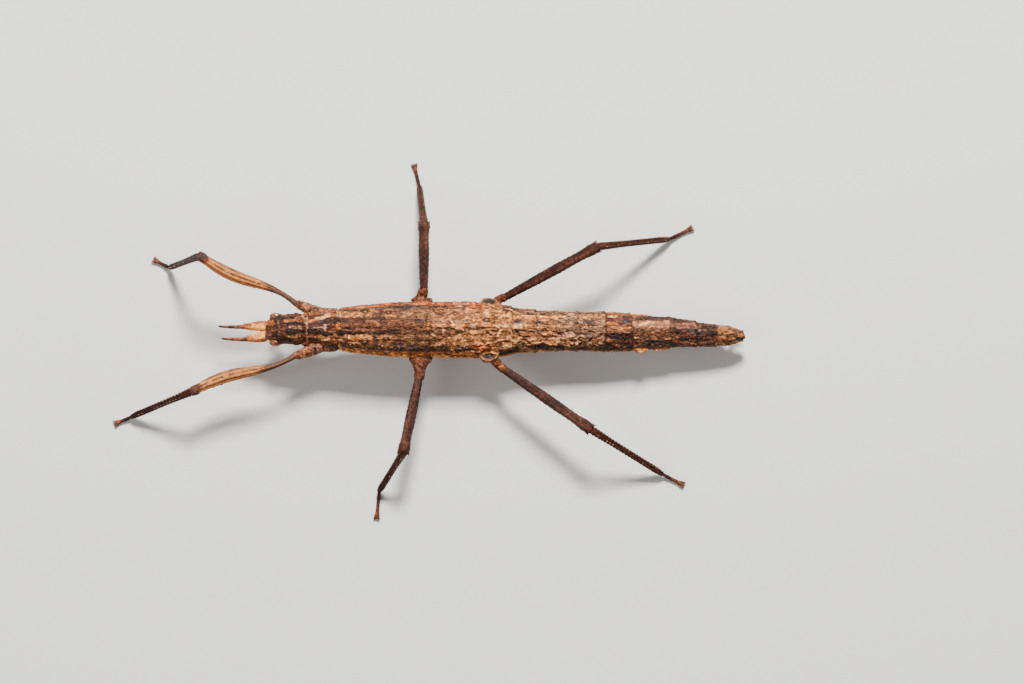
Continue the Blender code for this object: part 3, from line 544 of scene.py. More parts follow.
# markings of each plate as brush strokes, as the camera sees the back, in millimetres along and across:
# from, to, half width, hue, strength
strokes = {
    "head": (
        (-18.15, 0.44, -17.49, 0.39, 0.33, "orangeTan", 0.55),
        (-17.77, -1.38, -17.05, -1.49, 0.33, "brown", 0.90),
        (-17.93, -0.33, -17.16, -0.33, 0.33, "brown", 0.75),
        (-17.82, 0.99, -17.16, 1.07, 0.17, "slate", 0.60),
        (-17.82, -1.98, -17.05, -2.04, 0.20, "black", 0.20),
        (-16.91, 0.60, -16.91, -1.38, 0.11, "black", 0.55), (-16.69, 0.55, -16.69, -1.21, 0.08, "tan", 0.45),
        (-16.28, 0.33, -16.28, -1.10, 0.42, "redBrown", 0.80),
        (-15.73, 0.55, -15.73, -1.32, 0.11, "black", 0.55),
        (-16.39, -1.43, -15.62, -1.38, 0.24, "black", 0.22),
        (-16.61, 0.94, -15.73, 0.99, 0.20, "darkBrown", 0.80),
        (-14.96, 0.33, -13.97, 0.33, 0.19, "black", 0.74),
        (-14.90, -0.69, -13.92, -0.69, 0.22, "black", 0.74),
        (-15.40, -0.11, -14.19, -0.17, 0.15, "pinkTan", 0.50),
        (-15.95, 0.60, -15.12, 0.60, 0.14, "tan", 0.95), (-15.73, -1.21, -14.63, -1.16, 0.12, "tan", 0.85),
        (-15.84, 1.16, -13.97, 1.18, 0.14, "redBrown", 0.80),
        (-14.74, -1.71, -13.86, -1.65, 0.20, "brown", 0.80),
        (-16.00, -1.85, -14.10, -1.80, 0.20, "brown", 0.65),
        (-16.06, -1.76, -13.97, -1.43, 0.09, "black", 0.25)),
    "pronotum": (
        (-13.53, 0.28, -13.53, -1.76, 0.10, "pinkTan", 0.90),
        (-13.83, 1.16, -13.53, 0.49, 0.25, "cream", 0.95),
        (-13.86, 1.38, -13.64, 1.54, 0.13, "paleOrange", 0.80),
        (-13.31, 1.49, -11.11, 1.76, 0.33, "tan", 0.60),
        (-13.09, 0.48, -12.21, 0.81, 0.17, "paleOrange", 0.90),
        (-12.32, 0.79, -11.00, 1.18, 0.20, "cream", 0.95),
        (-11.00, 1.21, -10.23, 1.21, 0.24, "orangeTan", 0.60),
        (-13.09, 0.29, -11.99, 0.29, 0.14, "black", 0.79), (-11.99, 0.48, -10.56, 0.51, 0.24, "black", 0.75),
        (-13.20, -0.11, -10.56, -0.11, 0.22, "redBrown", 0.60),
        (-12.98, -0.17, -11.70, -0.17, 0.06, "white", 0.55),
        (-11.57, 0.05, -11.57, -0.42, 0.10, "white", 0.65),
        (-11.22, 0.00, -10.45, 0.06, 0.20, "redBrown", 0.95),
        (-10.12, 0.36, -10.12, -0.44, 0.12, "orangeTan", 0.95),
        (-10.34, 0.77, -9.13, 0.63, 0.21, "black", 0.79),
        (-13.31, -0.62, -11.88, -0.66, 0.19, "black", 0.85),
        (-11.88, -0.77, -10.89, -0.94, 0.21, "black", 0.81),
        (-10.06, -0.77, -9.52, -0.88, 0.29, "black", 0.88),
        (-12.98, -1.07, -11.99, -1.07, 0.14, "paleOrange", 0.90),
        (-12.04, -1.35, -11.17, -1.46, 0.19, "cream", 0.95),
        (-11.11, -1.61, -10.12, -1.61, 0.22, "orangeTan", 0.70),
        (-13.09, -2.01, -11.11, -2.01, 0.40, "redBrown", 0.45),
        (-13.20, -1.39, -12.10, -1.54, 0.09, "black", 0.75),
        (-10.89, -2.23, -10.12, -2.20, 0.29, "darkBrown", 0.90)),
    "mesonotum": (
        (-9.88, -1.49, -9.75, -1.49, 0.15, "white", 0.65), (-9.99, 1.14, -9.83, 1.14, 0.14, "white", 0.62),
        (-9.99, -2.09, -9.85, -2.67, 0.09, "cream", 0.90), (-10.16, 1.65, -9.90, 1.34, 0.10, "cream", 0.90),
        (-9.46, 1.32, -6.60, 1.25, 0.25, "tan", 0.85), (-9.46, 1.07, -8.14, 1.07, 0.13, "paleOrange", 0.75),
        (-9.46, 1.69, -7.04, 1.74, 0.11, "darkBrown", 0.85),
        (-9.46, 0.81, -1.10, 0.81, 0.11, "darkBrown", 0.70), (-5.94, 0.77, -4.62, 0.77, 0.14, "black", 0.65),
        (-9.24, 0.11, -1.10, 0.06, 0.48, "redBrown", 0.60),
        (-9.46, -0.77, -3.30, -0.62, 0.17, "darkBrown", 0.88),
        (-8.80, -1.23, -6.60, -1.23, 0.24, "paleOrange", 0.85),
        (-5.72, -1.39, -4.18, -1.39, 0.29, "tan", 0.85),
        (-9.46, -2.17, -5.39, -2.20, 0.21, "darkBrown", 0.95),
        (-3.52, -2.18, -1.54, -2.37, 0.14, "slate", 0.85),
        (-5.61, 1.49, -4.95, 1.49, 0.19, "darkBrown", 0.85),
        (-5.88, -1.43, -5.39, -1.54, 0.23, "slate", 0.75), (-3.63, 1.98, -1.43, 2.02, 0.14, "slate", 0.75),
        (-2.97, 1.21, -0.22, 1.51, 0.46, "olive", 0.70), (-2.53, -1.54, 0.00, -1.32, 0.53, "olive", 0.70),
        (-4.29, -1.69, -3.08, -1.80, 0.26, "redBrown", 0.65), (-0.44, 0.64, 0.11, 0.64, 0.10, "black", 0.95),
        (-0.49, -0.59, 0.28, -0.59, 0.13, "black", 0.97),
        (-0.15, 0.48, -0.15, -0.29, 0.17, "orangeTan", 0.90),
        (-4.84, 1.04, -3.85, 1.04, 0.13, "paleOrange", 0.60)),
    "metanotum": (
        (0.00, 1.21, 0.77, 1.25, 0.20, "pinkTan", 0.50), (2.69, 1.10, 4.84, 1.10, 0.40, "tan", 0.45),
        (0.88, 1.43, 2.42, 1.54, 0.35, "brown", 0.50), (0.33, 0.06, 4.26, 0.06, 0.13, "paleOrange", 0.85),
        (1.10, -0.24, 2.75, -0.24, 0.08, "black", 0.80), (0.33, 0.53, 3.96, 0.46, 0.18, "greyTan", 0.60),
        (0.33, -0.59, 4.18, -0.59, 0.22, "slate", 0.50), (0.66, -1.10, 2.42, -1.14, 0.31, "brown", 0.65),
        (2.53, -1.32, 5.83, -1.32, 0.33, "tan", 0.45), (2.81, 2.00, 3.85, 2.00, 0.17, "slate", 0.95),
        (2.97, -2.44, 4.15, -2.44, 0.21, "slate", 0.90), (4.40, 2.04, 4.47, 2.04, 0.09, "black", 0.90),
        (4.51, 2.24, 6.05, 2.09, 0.31, "orange", 0.80), (5.06, -2.25, 6.34, -2.49, 0.35, "orange", 0.80),
        (0.00, -2.35, 1.76, -2.24, 0.11, "darkRed", 0.85),
        (3.96, -0.15, 4.84, -0.44, 0.09, "darkBrown", 0.85),
        (5.17, -0.14, 6.49, -0.14, 0.08, "darkBrown", 0.70),
        (5.83, -1.69, 6.75, -2.46, 0.12, "darkBrown", 0.85)),
    "waist": (
        (4.66, 0.08, 5.24, 0.08, 0.19, "white", 0.60), (5.28, 0.08, 6.49, 0.08, 0.12, "paleOrange", 0.90),
        (6.86, 0.28, 6.86, -0.22, 0.15, "orangeTan", 0.95), (6.75, 0.49, 7.11, 0.49, 0.09, "black", 0.90),
        (6.78, -0.55, 7.48, -0.55, 0.14, "black", 0.95), (6.03, 0.69, 6.71, 0.69, 0.19, "brown", 0.90),
        (7.15, 0.00, 9.46, 0.00, 0.17, "cream", 0.90), (9.46, 0.00, 12.10, 0.00, 0.17, "cream", 0.75),
        (9.33, 0.00, 9.64, 0.00, 0.18, "white", 0.80), (11.88, -0.03, 12.17, -0.03, 0.18, "white", 0.70),
        (14.23, -0.11, 14.52, -0.11, 0.18, "white", 0.60),
        (12.21, -0.07, 14.30, -0.09, 0.15, "greyTan", 0.70),
        (14.63, -0.13, 19.14, -0.26, 0.13, "greyTan", 0.80),
        (8.03, 1.85, 8.74, 1.76, 0.24, "darkBrown", 0.95), (8.36, 1.76, 9.46, 1.76, 0.25, "darkBrown", 0.80),
        (10.45, 1.43, 11.94, 1.39, 0.20, "darkBrown", 0.90),
        (12.21, 1.32, 14.08, 1.25, 0.12, "darkBrown", 0.70),
        (8.43, 1.10, 10.56, 0.97, 0.24, "paleOrange", 0.85),
        (10.56, 0.97, 11.71, 0.92, 0.21, "paleOrange", 0.85),
        (12.18, 0.90, 14.08, 0.88, 0.21, "paleOrange", 0.85),
        (6.71, -1.13, 7.12, -1.13, 0.21, "olive", 0.85), (5.94, -0.99, 6.71, -0.88, 0.18, "olive", 0.70),
        (9.35, 0.48, 10.19, 0.44, 0.14, "slate", 0.90), (11.69, 0.42, 12.32, 0.40, 0.12, "slate", 0.90),
        (14.19, 0.44, 14.48, 0.42, 0.11, "black", 0.80), (9.35, -0.48, 10.23, -0.48, 0.13, "slate", 0.92),
        (11.69, -0.58, 12.32, -0.58, 0.14, "slate", 0.92), (14.30, -0.60, 14.74, -0.60, 0.12, "slate", 0.80),
        (7.48, -0.99, 8.36, -1.10, 0.22, "paleOrange", 0.60),
        (8.36, -1.41, 9.64, -1.56, 0.14, "cream", 0.95), (10.78, -1.32, 11.66, -1.51, 0.13, "cream", 0.95),
        (13.20, -1.32, 14.13, -1.51, 0.13, "cream", 0.95), (8.36, -0.94, 13.86, -0.99, 0.29, "tan", 0.70)),
    "abdomen": (
        (14.30, 0.33, 16.39, 0.22, 0.62, "greyTan", 0.75),
        (14.41, -1.10, 16.39, -1.16, 0.37, "pinkTan", 0.60), (16.72, 1.03, 19.14, 0.92, 0.22, "tan", 0.80),
        (17.12, 0.47, 17.89, 0.31, 0.28, "slate", 0.85), (17.86, 0.64, 17.93, 0.64, 0.09, "black", 0.95),
        (18.04, 0.44, 19.14, 0.40, 0.24, "pinkTan", 0.60), (16.76, -0.82, 17.27, -0.82, 0.13, "black", 0.95),
        (17.31, -1.06, 17.89, -1.25, 0.24, "slate", 0.85),
        (17.27, -0.74, 18.81, -0.88, 0.09, "darkBrown", 0.85),
        (18.04, -1.32, 19.03, -1.28, 0.24, "pinkTan", 0.70), (18.15, -1.72, 18.70, -1.67, 0.13, "tan", 0.80),
        (14.48, -2.07, 15.55, -2.09, 0.10, "tan", 0.90), (17.05, -2.12, 18.37, -2.20, 0.12, "tan", 0.90),
        (9.57, -2.16, 10.45, -2.24, 0.11, "greyTan", 0.80)),
    "sixth": (
        (19.25, 1.41, 22.22, 1.28, 0.13, "orangeTan", 0.85), (19.58, 1.07, 20.46, 1.06, 0.07, "cream", 0.85),
        (19.52, 0.73, 20.90, 0.66, 0.20, "redBrown", 0.95),
        (19.69, 0.30, 20.46, 0.30, 0.19, "orangeTan", 0.70), (21.34, 0.57, 21.89, 0.57, 0.26, "slate", 0.95),
        (19.64, -0.29, 22.04, -0.29, 0.24, "tan", 0.95),
        (20.90, -0.18, 22.00, -0.22, 0.14, "paleOrange", 0.70),
        (20.13, -1.14, 21.96, -1.14, 0.36, "darkRed", 1.00),
        (19.47, -1.01, 19.60, -1.01, 0.12, "black", 0.85),
        (20.24, -2.00, 21.61, -2.38, 0.17, "orangeTan", 0.95),
        (19.25, -1.81, 21.89, -1.89, 0.10, "black", 0.80)),
    "seventh": (
        (22.44, 1.23, 23.72, 1.14, 0.17, "orangeTan", 0.95),
        (22.77, 0.82, 26.18, 0.85, 0.17, "darkBrown", 0.85),
        (24.09, 1.08, 26.51, 1.12, 0.10, "redBrown", 0.90),
        (22.66, 0.15, 26.18, 0.22, 0.35, "pinkTan", 0.85), (23.10, 0.15, 24.48, 0.15, 0.17, "cream", 0.55),
        (23.21, -0.47, 26.73, -0.51, 0.22, "brown", 0.60), (22.44, -1.10, 26.73, -1.12, 0.29, "brown", 0.75),
        (22.66, -1.30, 22.81, -1.30, 0.10, "cream", 0.80), (23.65, -1.67, 26.40, -1.65, 0.15, "black", 0.90),
        (22.62, -2.35, 23.76, -2.57, 0.28, "paleOrange", 0.95),
        (23.10, -2.79, 23.80, -2.79, 0.10, "white", 0.80),
        (24.20, -2.29, 25.93, -2.44, 0.11, "orangeTan", 0.85),
        (25.96, -1.39, 27.17, -1.32, 0.11, "tan", 0.80)),
    "tail": (
        (26.62, 1.17, 27.17, 1.12, 0.13, "orangeTan", 0.90),
        (26.89, 0.73, 27.39, 0.59, 0.19, "darkBrown", 0.90),
        (27.28, 0.55, 30.36, 0.48, 0.15, "redBrown", 0.85),
        (26.84, 0.04, 29.48, 0.02, 0.29, "pinkTan", 0.60),
        (27.06, -0.59, 27.72, -0.59, 0.17, "darkBrown", 0.95),
        (28.60, -0.62, 29.81, -0.66, 0.33, "slate", 0.85),
        (27.83, -0.77, 28.60, -0.88, 0.29, "redBrown", 0.80),
        (29.54, -0.18, 31.61, -0.15, 0.11, "black", 0.65),
        (29.48, -0.44, 31.24, -0.40, 0.07, "greyTan", 0.80),
        (30.93, -0.73, 31.57, -0.75, 0.21, "black", 0.65),
        (28.60, -1.32, 30.80, -1.34, 0.22, "redBrown", 0.70),
        (29.26, 0.22, 31.02, 0.18, 0.15, "brown", 0.70), (31.68, -0.95, 33.11, -0.95, 0.12, "black", 0.62),
        (33.11, -0.92, 33.77, -0.95, 0.09, "darkBrown", 0.80),
        (33.81, -1.41, 34.39, -1.41, 0.17, "slate", 0.90),
        (32.78, -0.37, 33.44, -0.48, 0.10, "redBrown", 0.70),
        (33.77, -0.26, 34.43, -0.59, 0.09, "darkBrown", 0.75),
        (32.12, -1.54, 33.33, -1.69, 0.12, "redBrown", 0.60),
        (31.90, -0.17, 32.67, -0.26, 0.14, "paleOrange", 0.70)),
}

# tubercles of the back: along, across, radius, height
tubercles = (
    (-7.13, 1.60, 0.30, 0.22), (-7.20, -1.74, 0.32, 0.24), (-4.54, 1.50, 0.22, 0.20),
    (-4.84, -1.40, 0.26, 0.24), (-6.16, 0.22, 0.17, 0.16), (-6.77, -0.13, 0.17, 0.16),
    (-4.22, 0.22, 0.15, 0.14), (-8.77, -2.04, 0.17, 0.14), (-5.24, -2.20, 0.19, 0.14),
    (-2.09, 0.22, 0.13, 0.10), (1.10, 1.76, 0.16, 0.14), (1.87, -1.65, 0.18, 0.15),
    (-14.40, 0.77, 0.17, 0.14), (-14.30, -1.10, 0.17, 0.14), (3.05, 2.00, 0.14, 0.10),
    (6.20, 0.66, 0.30, 0.14),
)
# the ground hue, and the brightness of everything, change along the body
groundHues = (
    (-17.3, "redBrown"), (-16.8, "darkBrown"), (-15.0, "darkBrown"), (-14.0, "redBrown"), (-11.0, "redBrown"),
    (-9.0, "brown"), (0.0, "brown"), (2.5, "tan"), (13.8, "tan"), (15.5, "greyTan"), (19.2, "greyTan"),
    (19.5, "redBrown"), (22.2, "redBrown"), (23.0, "brown"), (26.2, "brown"), (27.4, "redBrown"),
    (30.0, "redBrown"), (31.2, "darkBrown"), (31.7, "tan"),
)
bodyShade = ((18.8, 1.0), (19.4, 0.86), (22.2, 0.92), (23.0, 1.0), (26.2, 0.95), (26.8, 0.62), (31.2, 0.66),
             (31.8, 0.80))
# heights of the body's relief, in millimetres
reliefHeights = {
    "lumps": 0.08, "fine": 0.045, "streaks": 0.06, "grains": 0.10, "coarse": 0.09, "worms": 0.075,
    "wormEdges": 0.05, "thoraxJoint": 0.17, "abdomenJoint": 0.09, "jointLip": 0.05, "medianJoint": 0.07,
    "neck": 0.20, "keel": 0.05, "keelBeads": 0.03, "furrow": 0.055, "margin": 0.03, "thoraxMargin": 0.06,
    "marginGrains": 0.07, "backGroove": 0.07, "flankGroove": 0.09, "flankRidge": 0.07, "ovals": 0.07,
    "ovalRims": 0.06, "earRim": 0.08, "earHollow": 0.14, "browRidge": 0.14,
    "antennaCone": 0.27, "eyeRim": 0.05,
}
furrowPlaces = (0.95, 1.62)  # long furrows either side of the keel
# noises over the body: how much each is drawn out along it (1 is not at all), size, seed and octaves
bodyNoises = {
    "lumps": (1.0, 0.90, 11, 3), "fine": (1.0, 0.30, 17, 2), "streaks": (0.28, 0.30, 47, 2),
    "wander": (0.0, 0.70, 31, 2), "winding": (0.60, 0.62, 53, 2), "warpAlong": (1.0, 0.60, 41, 2),
    "warpAcross": (1.0, 0.40, 43, 2), "patches": (0.50, 0.26, 45, 2), "flecks": (0.45, 0.22, 67, 2),
}
# grains of two sizes: drawn out, size, seed
bodyGrains = {"grain": (0.8, 0.25, 23), "coarse": (0.6, 0.46, 29)}


def bodyNoise(grid, name):
    lengthwise, size, seed, octaves = bodyNoises[name]
    return softNoise(drawnOut(grid, lengthwise), size, seed, octaves)


def bodyPebbles(grid, name):
    lengthwise, size, seed = bodyGrains[name]
    return pebbles(drawnOut(grid, lengthwise), size, seed)


def groundHue(x):
    places = [row[0] for row in groundHues]
    table = np.array([hues[row[1]] for row in groundHues])
    return np.stack([np.interp(x, places, table[:, i]) for i in range(3)], axis=-1)


def strokeMask(along, across, start, end, halfWidth):
    run = end - start
    share = ((along - start[0]) * run[0] + (across - start[1]) * run[1]) / max(float(run @ run), 1e-6)
    share = np.clip(share, 0.0, 1.0)
    away = np.hypot(along - start[0] - share * run[0], across - start[1] - share * run[1])
    return 1.0 - smoothStep(halfWidth * 0.55, halfWidth * 1.35 + 0.06, away)


def bodyMasks(grid, turn, number, share):
    # every field that both the relief and the markings are drawn from
    x = grid[..., 0]
    y = grid[..., 1]
    lobe = bodyShape["earLobe"]
    masks = {
        "lumps": bodyNoise(grid, "lumps"),
        "fine": bodyNoise(grid, "fine"),
        "streaks": bodyNoise(grid, "streaks"),
        "onBack": smoothStep(0.85, 1.15, turn),
        "thorax": band(x, -13.4, 9.0, 0.4),
        "wander": bodyNoise(grid, "wander") * 0.12,
        "margin": peak(turn, 1.01, 0.055) * band(x, -9.8, 34.0, 0.4),
    }
    masks["grains"], masks["grainOwn"] = bodyPebbles(grid, "grain")
    masks["coarse"], masks["coarseOwn"] = bodyPebbles(grid, "coarse")
    # winding pale worms with dark edges, strongest on the waist and abdomen
    winding = np.abs(bodyNoise(grid, "winding"))
    onWaist = (0.22 + 0.78 * band(x, 0.5, 19.0, 1.5)) * masks["onBack"] * (x > -13.0)
    masks["worms"] = peak(winding, 0.0, 0.11) * onWaist
    masks["wormEdges"] = peak(winding, 0.26, 0.07) * onWaist
    # paired ovals beside the pale middle line of the first rings of the abdomen
    length = (plateLimits[1:] - plateLimits[:-1])[number]
    onAbdomen = ((number >= 3) & (number <= 6)) * masks["onBack"]
    oval = np.hypot((share - 0.50) * length / 0.95, (np.abs(y) - 0.66) / 0.34)
    masks["ovals"] = (1.0 - smoothStep(0.5, 1.05, oval)) * onAbdomen
    masks["ovalRims"] = peak(oval, 1.0, 0.17) * onAbdomen
    inLength = (x - lobe["x"]) / lobe["length"]
    masks["earRim"] = np.hypot(inLength, (turn - lobe["turn"]) / lobe["width"])
    masks["earLedge"] = (1.0 - smoothStep(0.70, 1.30, np.abs(inLength))) * band(turn, 0.86, 1.20, 0.10)
    masks["sideLobes"] = sum(height * np.exp(-((x - place) / reach) ** 4) * (y * way > 0.0)
                             for place, way, reach, height in bodyShape["sideLobes"]) * peak(turn, 1.0, 0.15)
    return masks


def bodyRelief(grid, turn, masks):
    # height of the skin above its smooth form
    x = grid[..., 0]
    y = grid[..., 1]
    high = reliefHeights
    onBack = masks["onBack"]
    relief = masks["lumps"] * high["lumps"] + masks["fine"] * high["fine"]
    relief += masks["streaks"] * high["streaks"] * onBack
    relief += (1.0 - masks["grains"]) ** 1.3 * high["grains"] * (0.4 + 0.6 * onBack)
    relief += (1.0 - masks["coarse"]) ** 2.0 * high["coarse"] * onBack * (masks["coarseOwn"] > 0.55)
    relief += masks["worms"] * high["worms"] - masks["wormEdges"] * high["wormEdges"]
    wandering = x + masks["wander"]
    for number, joint in enumerate(joints):
        depth = high["thoraxJoint" if number < 2 else "abdomenJoint"]
        relief += high["jointLip"] * peak(wandering, joint - 0.20, 0.11)
        relief -= depth * peak(wandering, joint + 0.02, 0.085)
    relief -= high["medianJoint"] * peak(wandering, bodyShape["medianJoint"], 0.10) * onBack
    relief -= high["neck"] * peak(x, bodyShape["neck"], 0.17)
    keel = peak(y, 0.0, 0.13) * smoothStep(1.7, 1.95, turn) * band(x, -13.0, 8.0, 0.6)
    relief += keel * (high["keel"] + high["keelBeads"] * np.sin(x * 9.0))
    for place in furrowPlaces:
        furrow = peak(np.abs(y) + 0.08 * masks["fine"], place, 0.10)
        relief -= high["furrow"] * furrow * masks["thorax"] * onBack
    onThorax = 1.0 - smoothStep(3.0, 6.0, x)
    grainy = high["thoraxMargin"] + high["marginGrains"] * (1.0 - masks["coarse"])
    relief += masks["margin"] * (high["margin"] + onThorax * grainy)
    relief -= peak(turn, 1.20, 0.06) * high["backGroove"] * band(x, -9.8, 6.0, 0.5)
    onFlank = band(x, -9.8, 31.0, 0.5)
    relief += peak(turn, 0.56, 0.06) * high["flankRidge"] * onFlank
    relief -= peak(turn, 0.72, 0.07) * high["flankGroove"] * onFlank
    relief += masks["ovals"] * high["ovals"] - masks["ovalRims"] * high["ovalRims"]
    # oval lobes at the sides of the hind thorax, a pale rim round a dark hollow
    relief += bodyShape["earLobe"]["height"] * masks["earLedge"]
    relief += high["earRim"] * peak(masks["earRim"], 1.0, 0.20)
    relief -= high["earHollow"] * (1.0 - smoothStep(0.50, 0.85, masks["earRim"]))
    relief += masks["sideLobes"]
    relief += high["browRidge"] * peak(x, -16.90, 0.13) * band(y, -0.85, 0.85, 0.25) * onBack
    for cone in bodyShape["antennaCones"]:
        away = np.linalg.norm(grid - np.array(cone), axis=-1)
        relief += high["antennaCone"] * (1.0 - smoothStep(0.15, 0.60, away))
    for hand in ("right", "left"):  # swollen rims round the eyes
        low, top = nodeBox("eye_" + hand)
        away = (grid + middleShift - (low + top) / 2.0) / ((top - low) / 2.0)
        relief += high["eyeRim"] * peak(np.linalg.norm(away, axis=-1), 1.30, 0.18)
    along, across = seenOnBack(grid + middleShift)
    for placeX, placeY, radius, height in tubercles:
        away = np.hypot(along - placeX, across - placeY)
        relief += height * 0.7 * (1.0 - smoothStep(0.2 * radius, 1.25 * radius, away)) * onBack
    return relief


def brushStrokes(grid, turn, colour, along, across, patchy):
    # ragged strokes, each over those before it
    warpX = along + 0.18 * bodyNoise(grid, "warpAlong")
    warpY = across + 0.12 * bodyNoise(grid, "warpAcross")
    facing = smoothStep(0.55, 0.80, turn)
    for marks in strokes.values():
        for *ends, halfWidth, hue, strength in marks:
            start, end = np.array(ends).reshape(2, 2)
            laid = strokeMask(warpX, warpY, start, end, halfWidth) + 0.36 * patchy
            colour = tint(colour, (smoothStep(0.30, 0.70, laid) * facing, hue, strength))
    return colour


def bodyColours(grid, turn, masks):
    x = grid[..., 0]
    left = grid[..., 1] < 0.0
    right = grid[..., 1] > 0.0
    onBack = masks["onBack"]
    fine = masks["fine"]
    streaks = masks["streaks"]
    pale = smoothStep(-14.0, -9.0, x)  # the head has few pale streaks
    # pale raised side margins, brightest on the left, and the orange edges of the abdomen
    margin = np.maximum(band(x, -9.9, -2.2, 0.5), band(x, 0.15, 2.9, 0.35))
    edge = band(turn + 0.05 * fine, 0.93, 1.25, 0.03)
    lit = edge * margin * (0.75 + 0.8 * streaks) * np.where(left, 0.95, 0.35)
    rightEdge = peak(turn + 0.04 * fine, 1.02, 0.05) * right * band(x, -9.9, 6.0, 0.5)
    colour = tint(
        groundHue(x + 0.4 * masks["lumps"]),
        (smoothStep(0.10, 0.45, streaks) * onBack * pale, "tan", 0.55),
        (smoothStep(0.10, 0.45, -streaks) * onBack, "darkBrown", 0.60),
        (edge * band(x, -9.9, 5.0, 0.5), "orangeTan", 0.85),
        (lit, "paleOrange", 1.0),
        (edge * margin * right, "orange", 0.65),
        (rightEdge, "redBrown", 0.85),
        (edge * smoothStep(0.55, 0.90, masks["coarse"]), "brown", 0.55),
        (band(turn, 0.90, 1.12, 0.05) * band(x, 7.5, 31.0, 0.8), "tan", 0.65))

    along, across = seenOnBack(grid + middleShift)
    patchy = bodyNoise(grid, "patches") - 0.08
    colour = brushStrokes(grid, turn, colour, along, across, patchy)

    # pale rail along the middle of the waist between dark lines, then a dark line inside each margin and a
    # ragged dark band on the flanks of the abdomen, darker and broader on the left
    rail = np.abs(across + 0.05 * fine) / (0.17 + 0.06 * np.cos(2.0 * math.pi * x / 2.45))
    onRail = band(x, 0.3, 17.5, 0.4)
    lineIn = band(turn + 0.05 * fine, 1.26, 1.37, 0.03) * band(x, -9.5, 4.4, 0.4)
    scallop = np.where(left, 1.42, 1.34) + 0.06 * np.sin(x * 2.7) + 0.11 * fine
    ragged = band(turn, np.where(left, 1.10, 1.16), scallop, 0.035) * band(x, 7.4, 27.5, 0.5)
    flecks = bodyNoise(grid, "flecks")
    colour = tint(
        colour,
        ((1.0 - smoothStep(0.6, 1.0, rail)) * onRail, "paleOrange", 0.45),
        (peak(rail, 1.35, 0.25) * onRail * smoothStep(-0.35, 0.15, patchy), "darkBrown", 0.62),
        (lineIn, "darkBrown", 0.85),
        (ragged * np.where(left, 0.95, 0.60), "darkBrown", 0.95),
        (ragged * smoothStep(0.10, 0.40, flecks), "greyTan", 0.40),
        (peak(turn, scallop + 0.06, 0.030) * band(x, 8.6, 16.5, 0.8), "cream", 0.70))

    # worms and ragged flecks run over every mark, without hiding it
    worms = masks["worms"][..., None]
    colour = colour * (1.0 + 0.9 * worms) + np.array(hues["cream"]) * 0.10 * worms
    colour = colour * (1.0 - 0.62 * masks["wormEdges"])[..., None]
    colour = colour * (1.0 - 0.60 * smoothStep(0.24, 0.50, flecks) * onBack)[..., None]
    colour = colour * (1.0 + 0.75 * smoothStep(0.24, 0.50, -flecks) * onBack)[..., None]

    # dark flank with a pale line, ovals, side flaps, ear lobes, joints and tubercles
    lobe = bodyShape["earLobe"]
    outerSide = smoothStep(-0.4, 0.5, (lobe["turn"] - turn) / lobe["width"])
    flank = band(turn + 0.04 * fine, 0.70, 0.90, 0.03) * band(x, -9.9, 31.0, 0.4)
    colour = tint(
        colour,
        (flank, "black", 0.85),
        (peak(turn + 0.05 * fine, 0.62, 0.04) * band(x, -9.5, 31.0, 0.4), "orangeTan", 0.65),
        (masks["ovalRims"], "slate", 0.70),
        (smoothStep(0.05, 0.11, masks["sideLobes"]), "paleOrange", 0.85),
        (masks["earLedge"], "brown", 0.70),
        (peak(masks["earRim"], 1.10, 0.20) * (0.35 + 0.65 * outerSide), "cream", 1.0),
        (1.0 - smoothStep(0.66, 0.88, masks["earRim"]), "slate", 0.97))
    for joint in joints:
        strength = 0.65 if joint < -5.0 or joint > 18.0 else 0.25
        colour = tint(colour, (peak(x + masks["wander"], joint + 0.03, 0.07), "darkBrown", strength))
    colour = tint(colour, (peak(x, bodyShape["neck"], 0.12), "darkBrown", 0.8))
    for placeX, placeY, radius, height in tubercles:
        away = np.hypot((along - placeX) * 0.7, (across - placeY) * 1.15) / radius
        colour = tint(
            colour,
            (peak(away, 1.75, 0.40) * onBack, "paleOrange", 0.35),
            ((1.0 - smoothStep(0.7, 1.15, away)) * onBack, "black", 0.85),
            ((1.0 - smoothStep(0.15, 0.5, away)) * onBack, "cream", 0.75))
    belly = 1.0 - smoothStep(0.35, 0.55, turn)
    colour = tint(
        colour, (belly, "brown", 0.75), (belly * smoothStep(0.1, 0.5, masks["lumps"]), "greyTan", 0.5))
    # brightness: random mottling, each grain's own tone, painted shade on the low ground between the raised
    # grains, and a tone that changes along the body
    shade = 1.0 + 0.40 * fine + 0.20 * masks["lumps"]
    shade *= (1.22 - 0.62 * masks["grains"] ** 1.6) * (0.80 + 0.40 * masks["grainOwn"])
    shade *= np.interp(x, *zip(*bodyShade))
    return colour * np.clip(shade, 0.15, 2.2)[..., None]


def jointBetween(first, second):
    # the middle of the gap where two solids face each other
    a = nodePoints(first)
    b = nodePoints(second)
    far = np.linalg.norm(a[:, None] - b[None], axis=-1)
    reach = far.min() + 0.25
    return (a[far.min(axis=1) < reach].mean(axis=0) + b[far.min(axis=0) < reach].mean(axis=0)) / 2.0


def sideAndTop(way):
    # the directions to the side and to the upper side of a limb
    side = unit(np.cross(up, way))
    return side, np.cross(way, side)


def granularTube(start, end, profile, spacing, around, section, bow=None):
    # a limb segment: its grid, place along it, angle from its upper side, and direction
    axis = unit(end - start)
    side, top = sideAndTop(axis)
    length = np.linalg.norm(end - start)
    t = np.linspace(0.0, 1.0, max(8, int(length / spacing)))
    size = easeTable(profile, t)
    angle = np.linspace(0.0, 2.0 * math.pi, around, endpoint=False)
    reach = section(angle, t * length)
    offset = (np.sin(angle)[None] * size[:, :1] * reach)[..., None] * side
    offset = offset + (np.cos(angle)[None] * size[:, 1:] * reach)[..., None] * top
    centre = start + t[:, None] * (end - start)
    if bow is not None:
        centre = centre + bow(t)[:, None] * side
    return centre[:, None, :] + offset, t[:, None], angle[None], axis


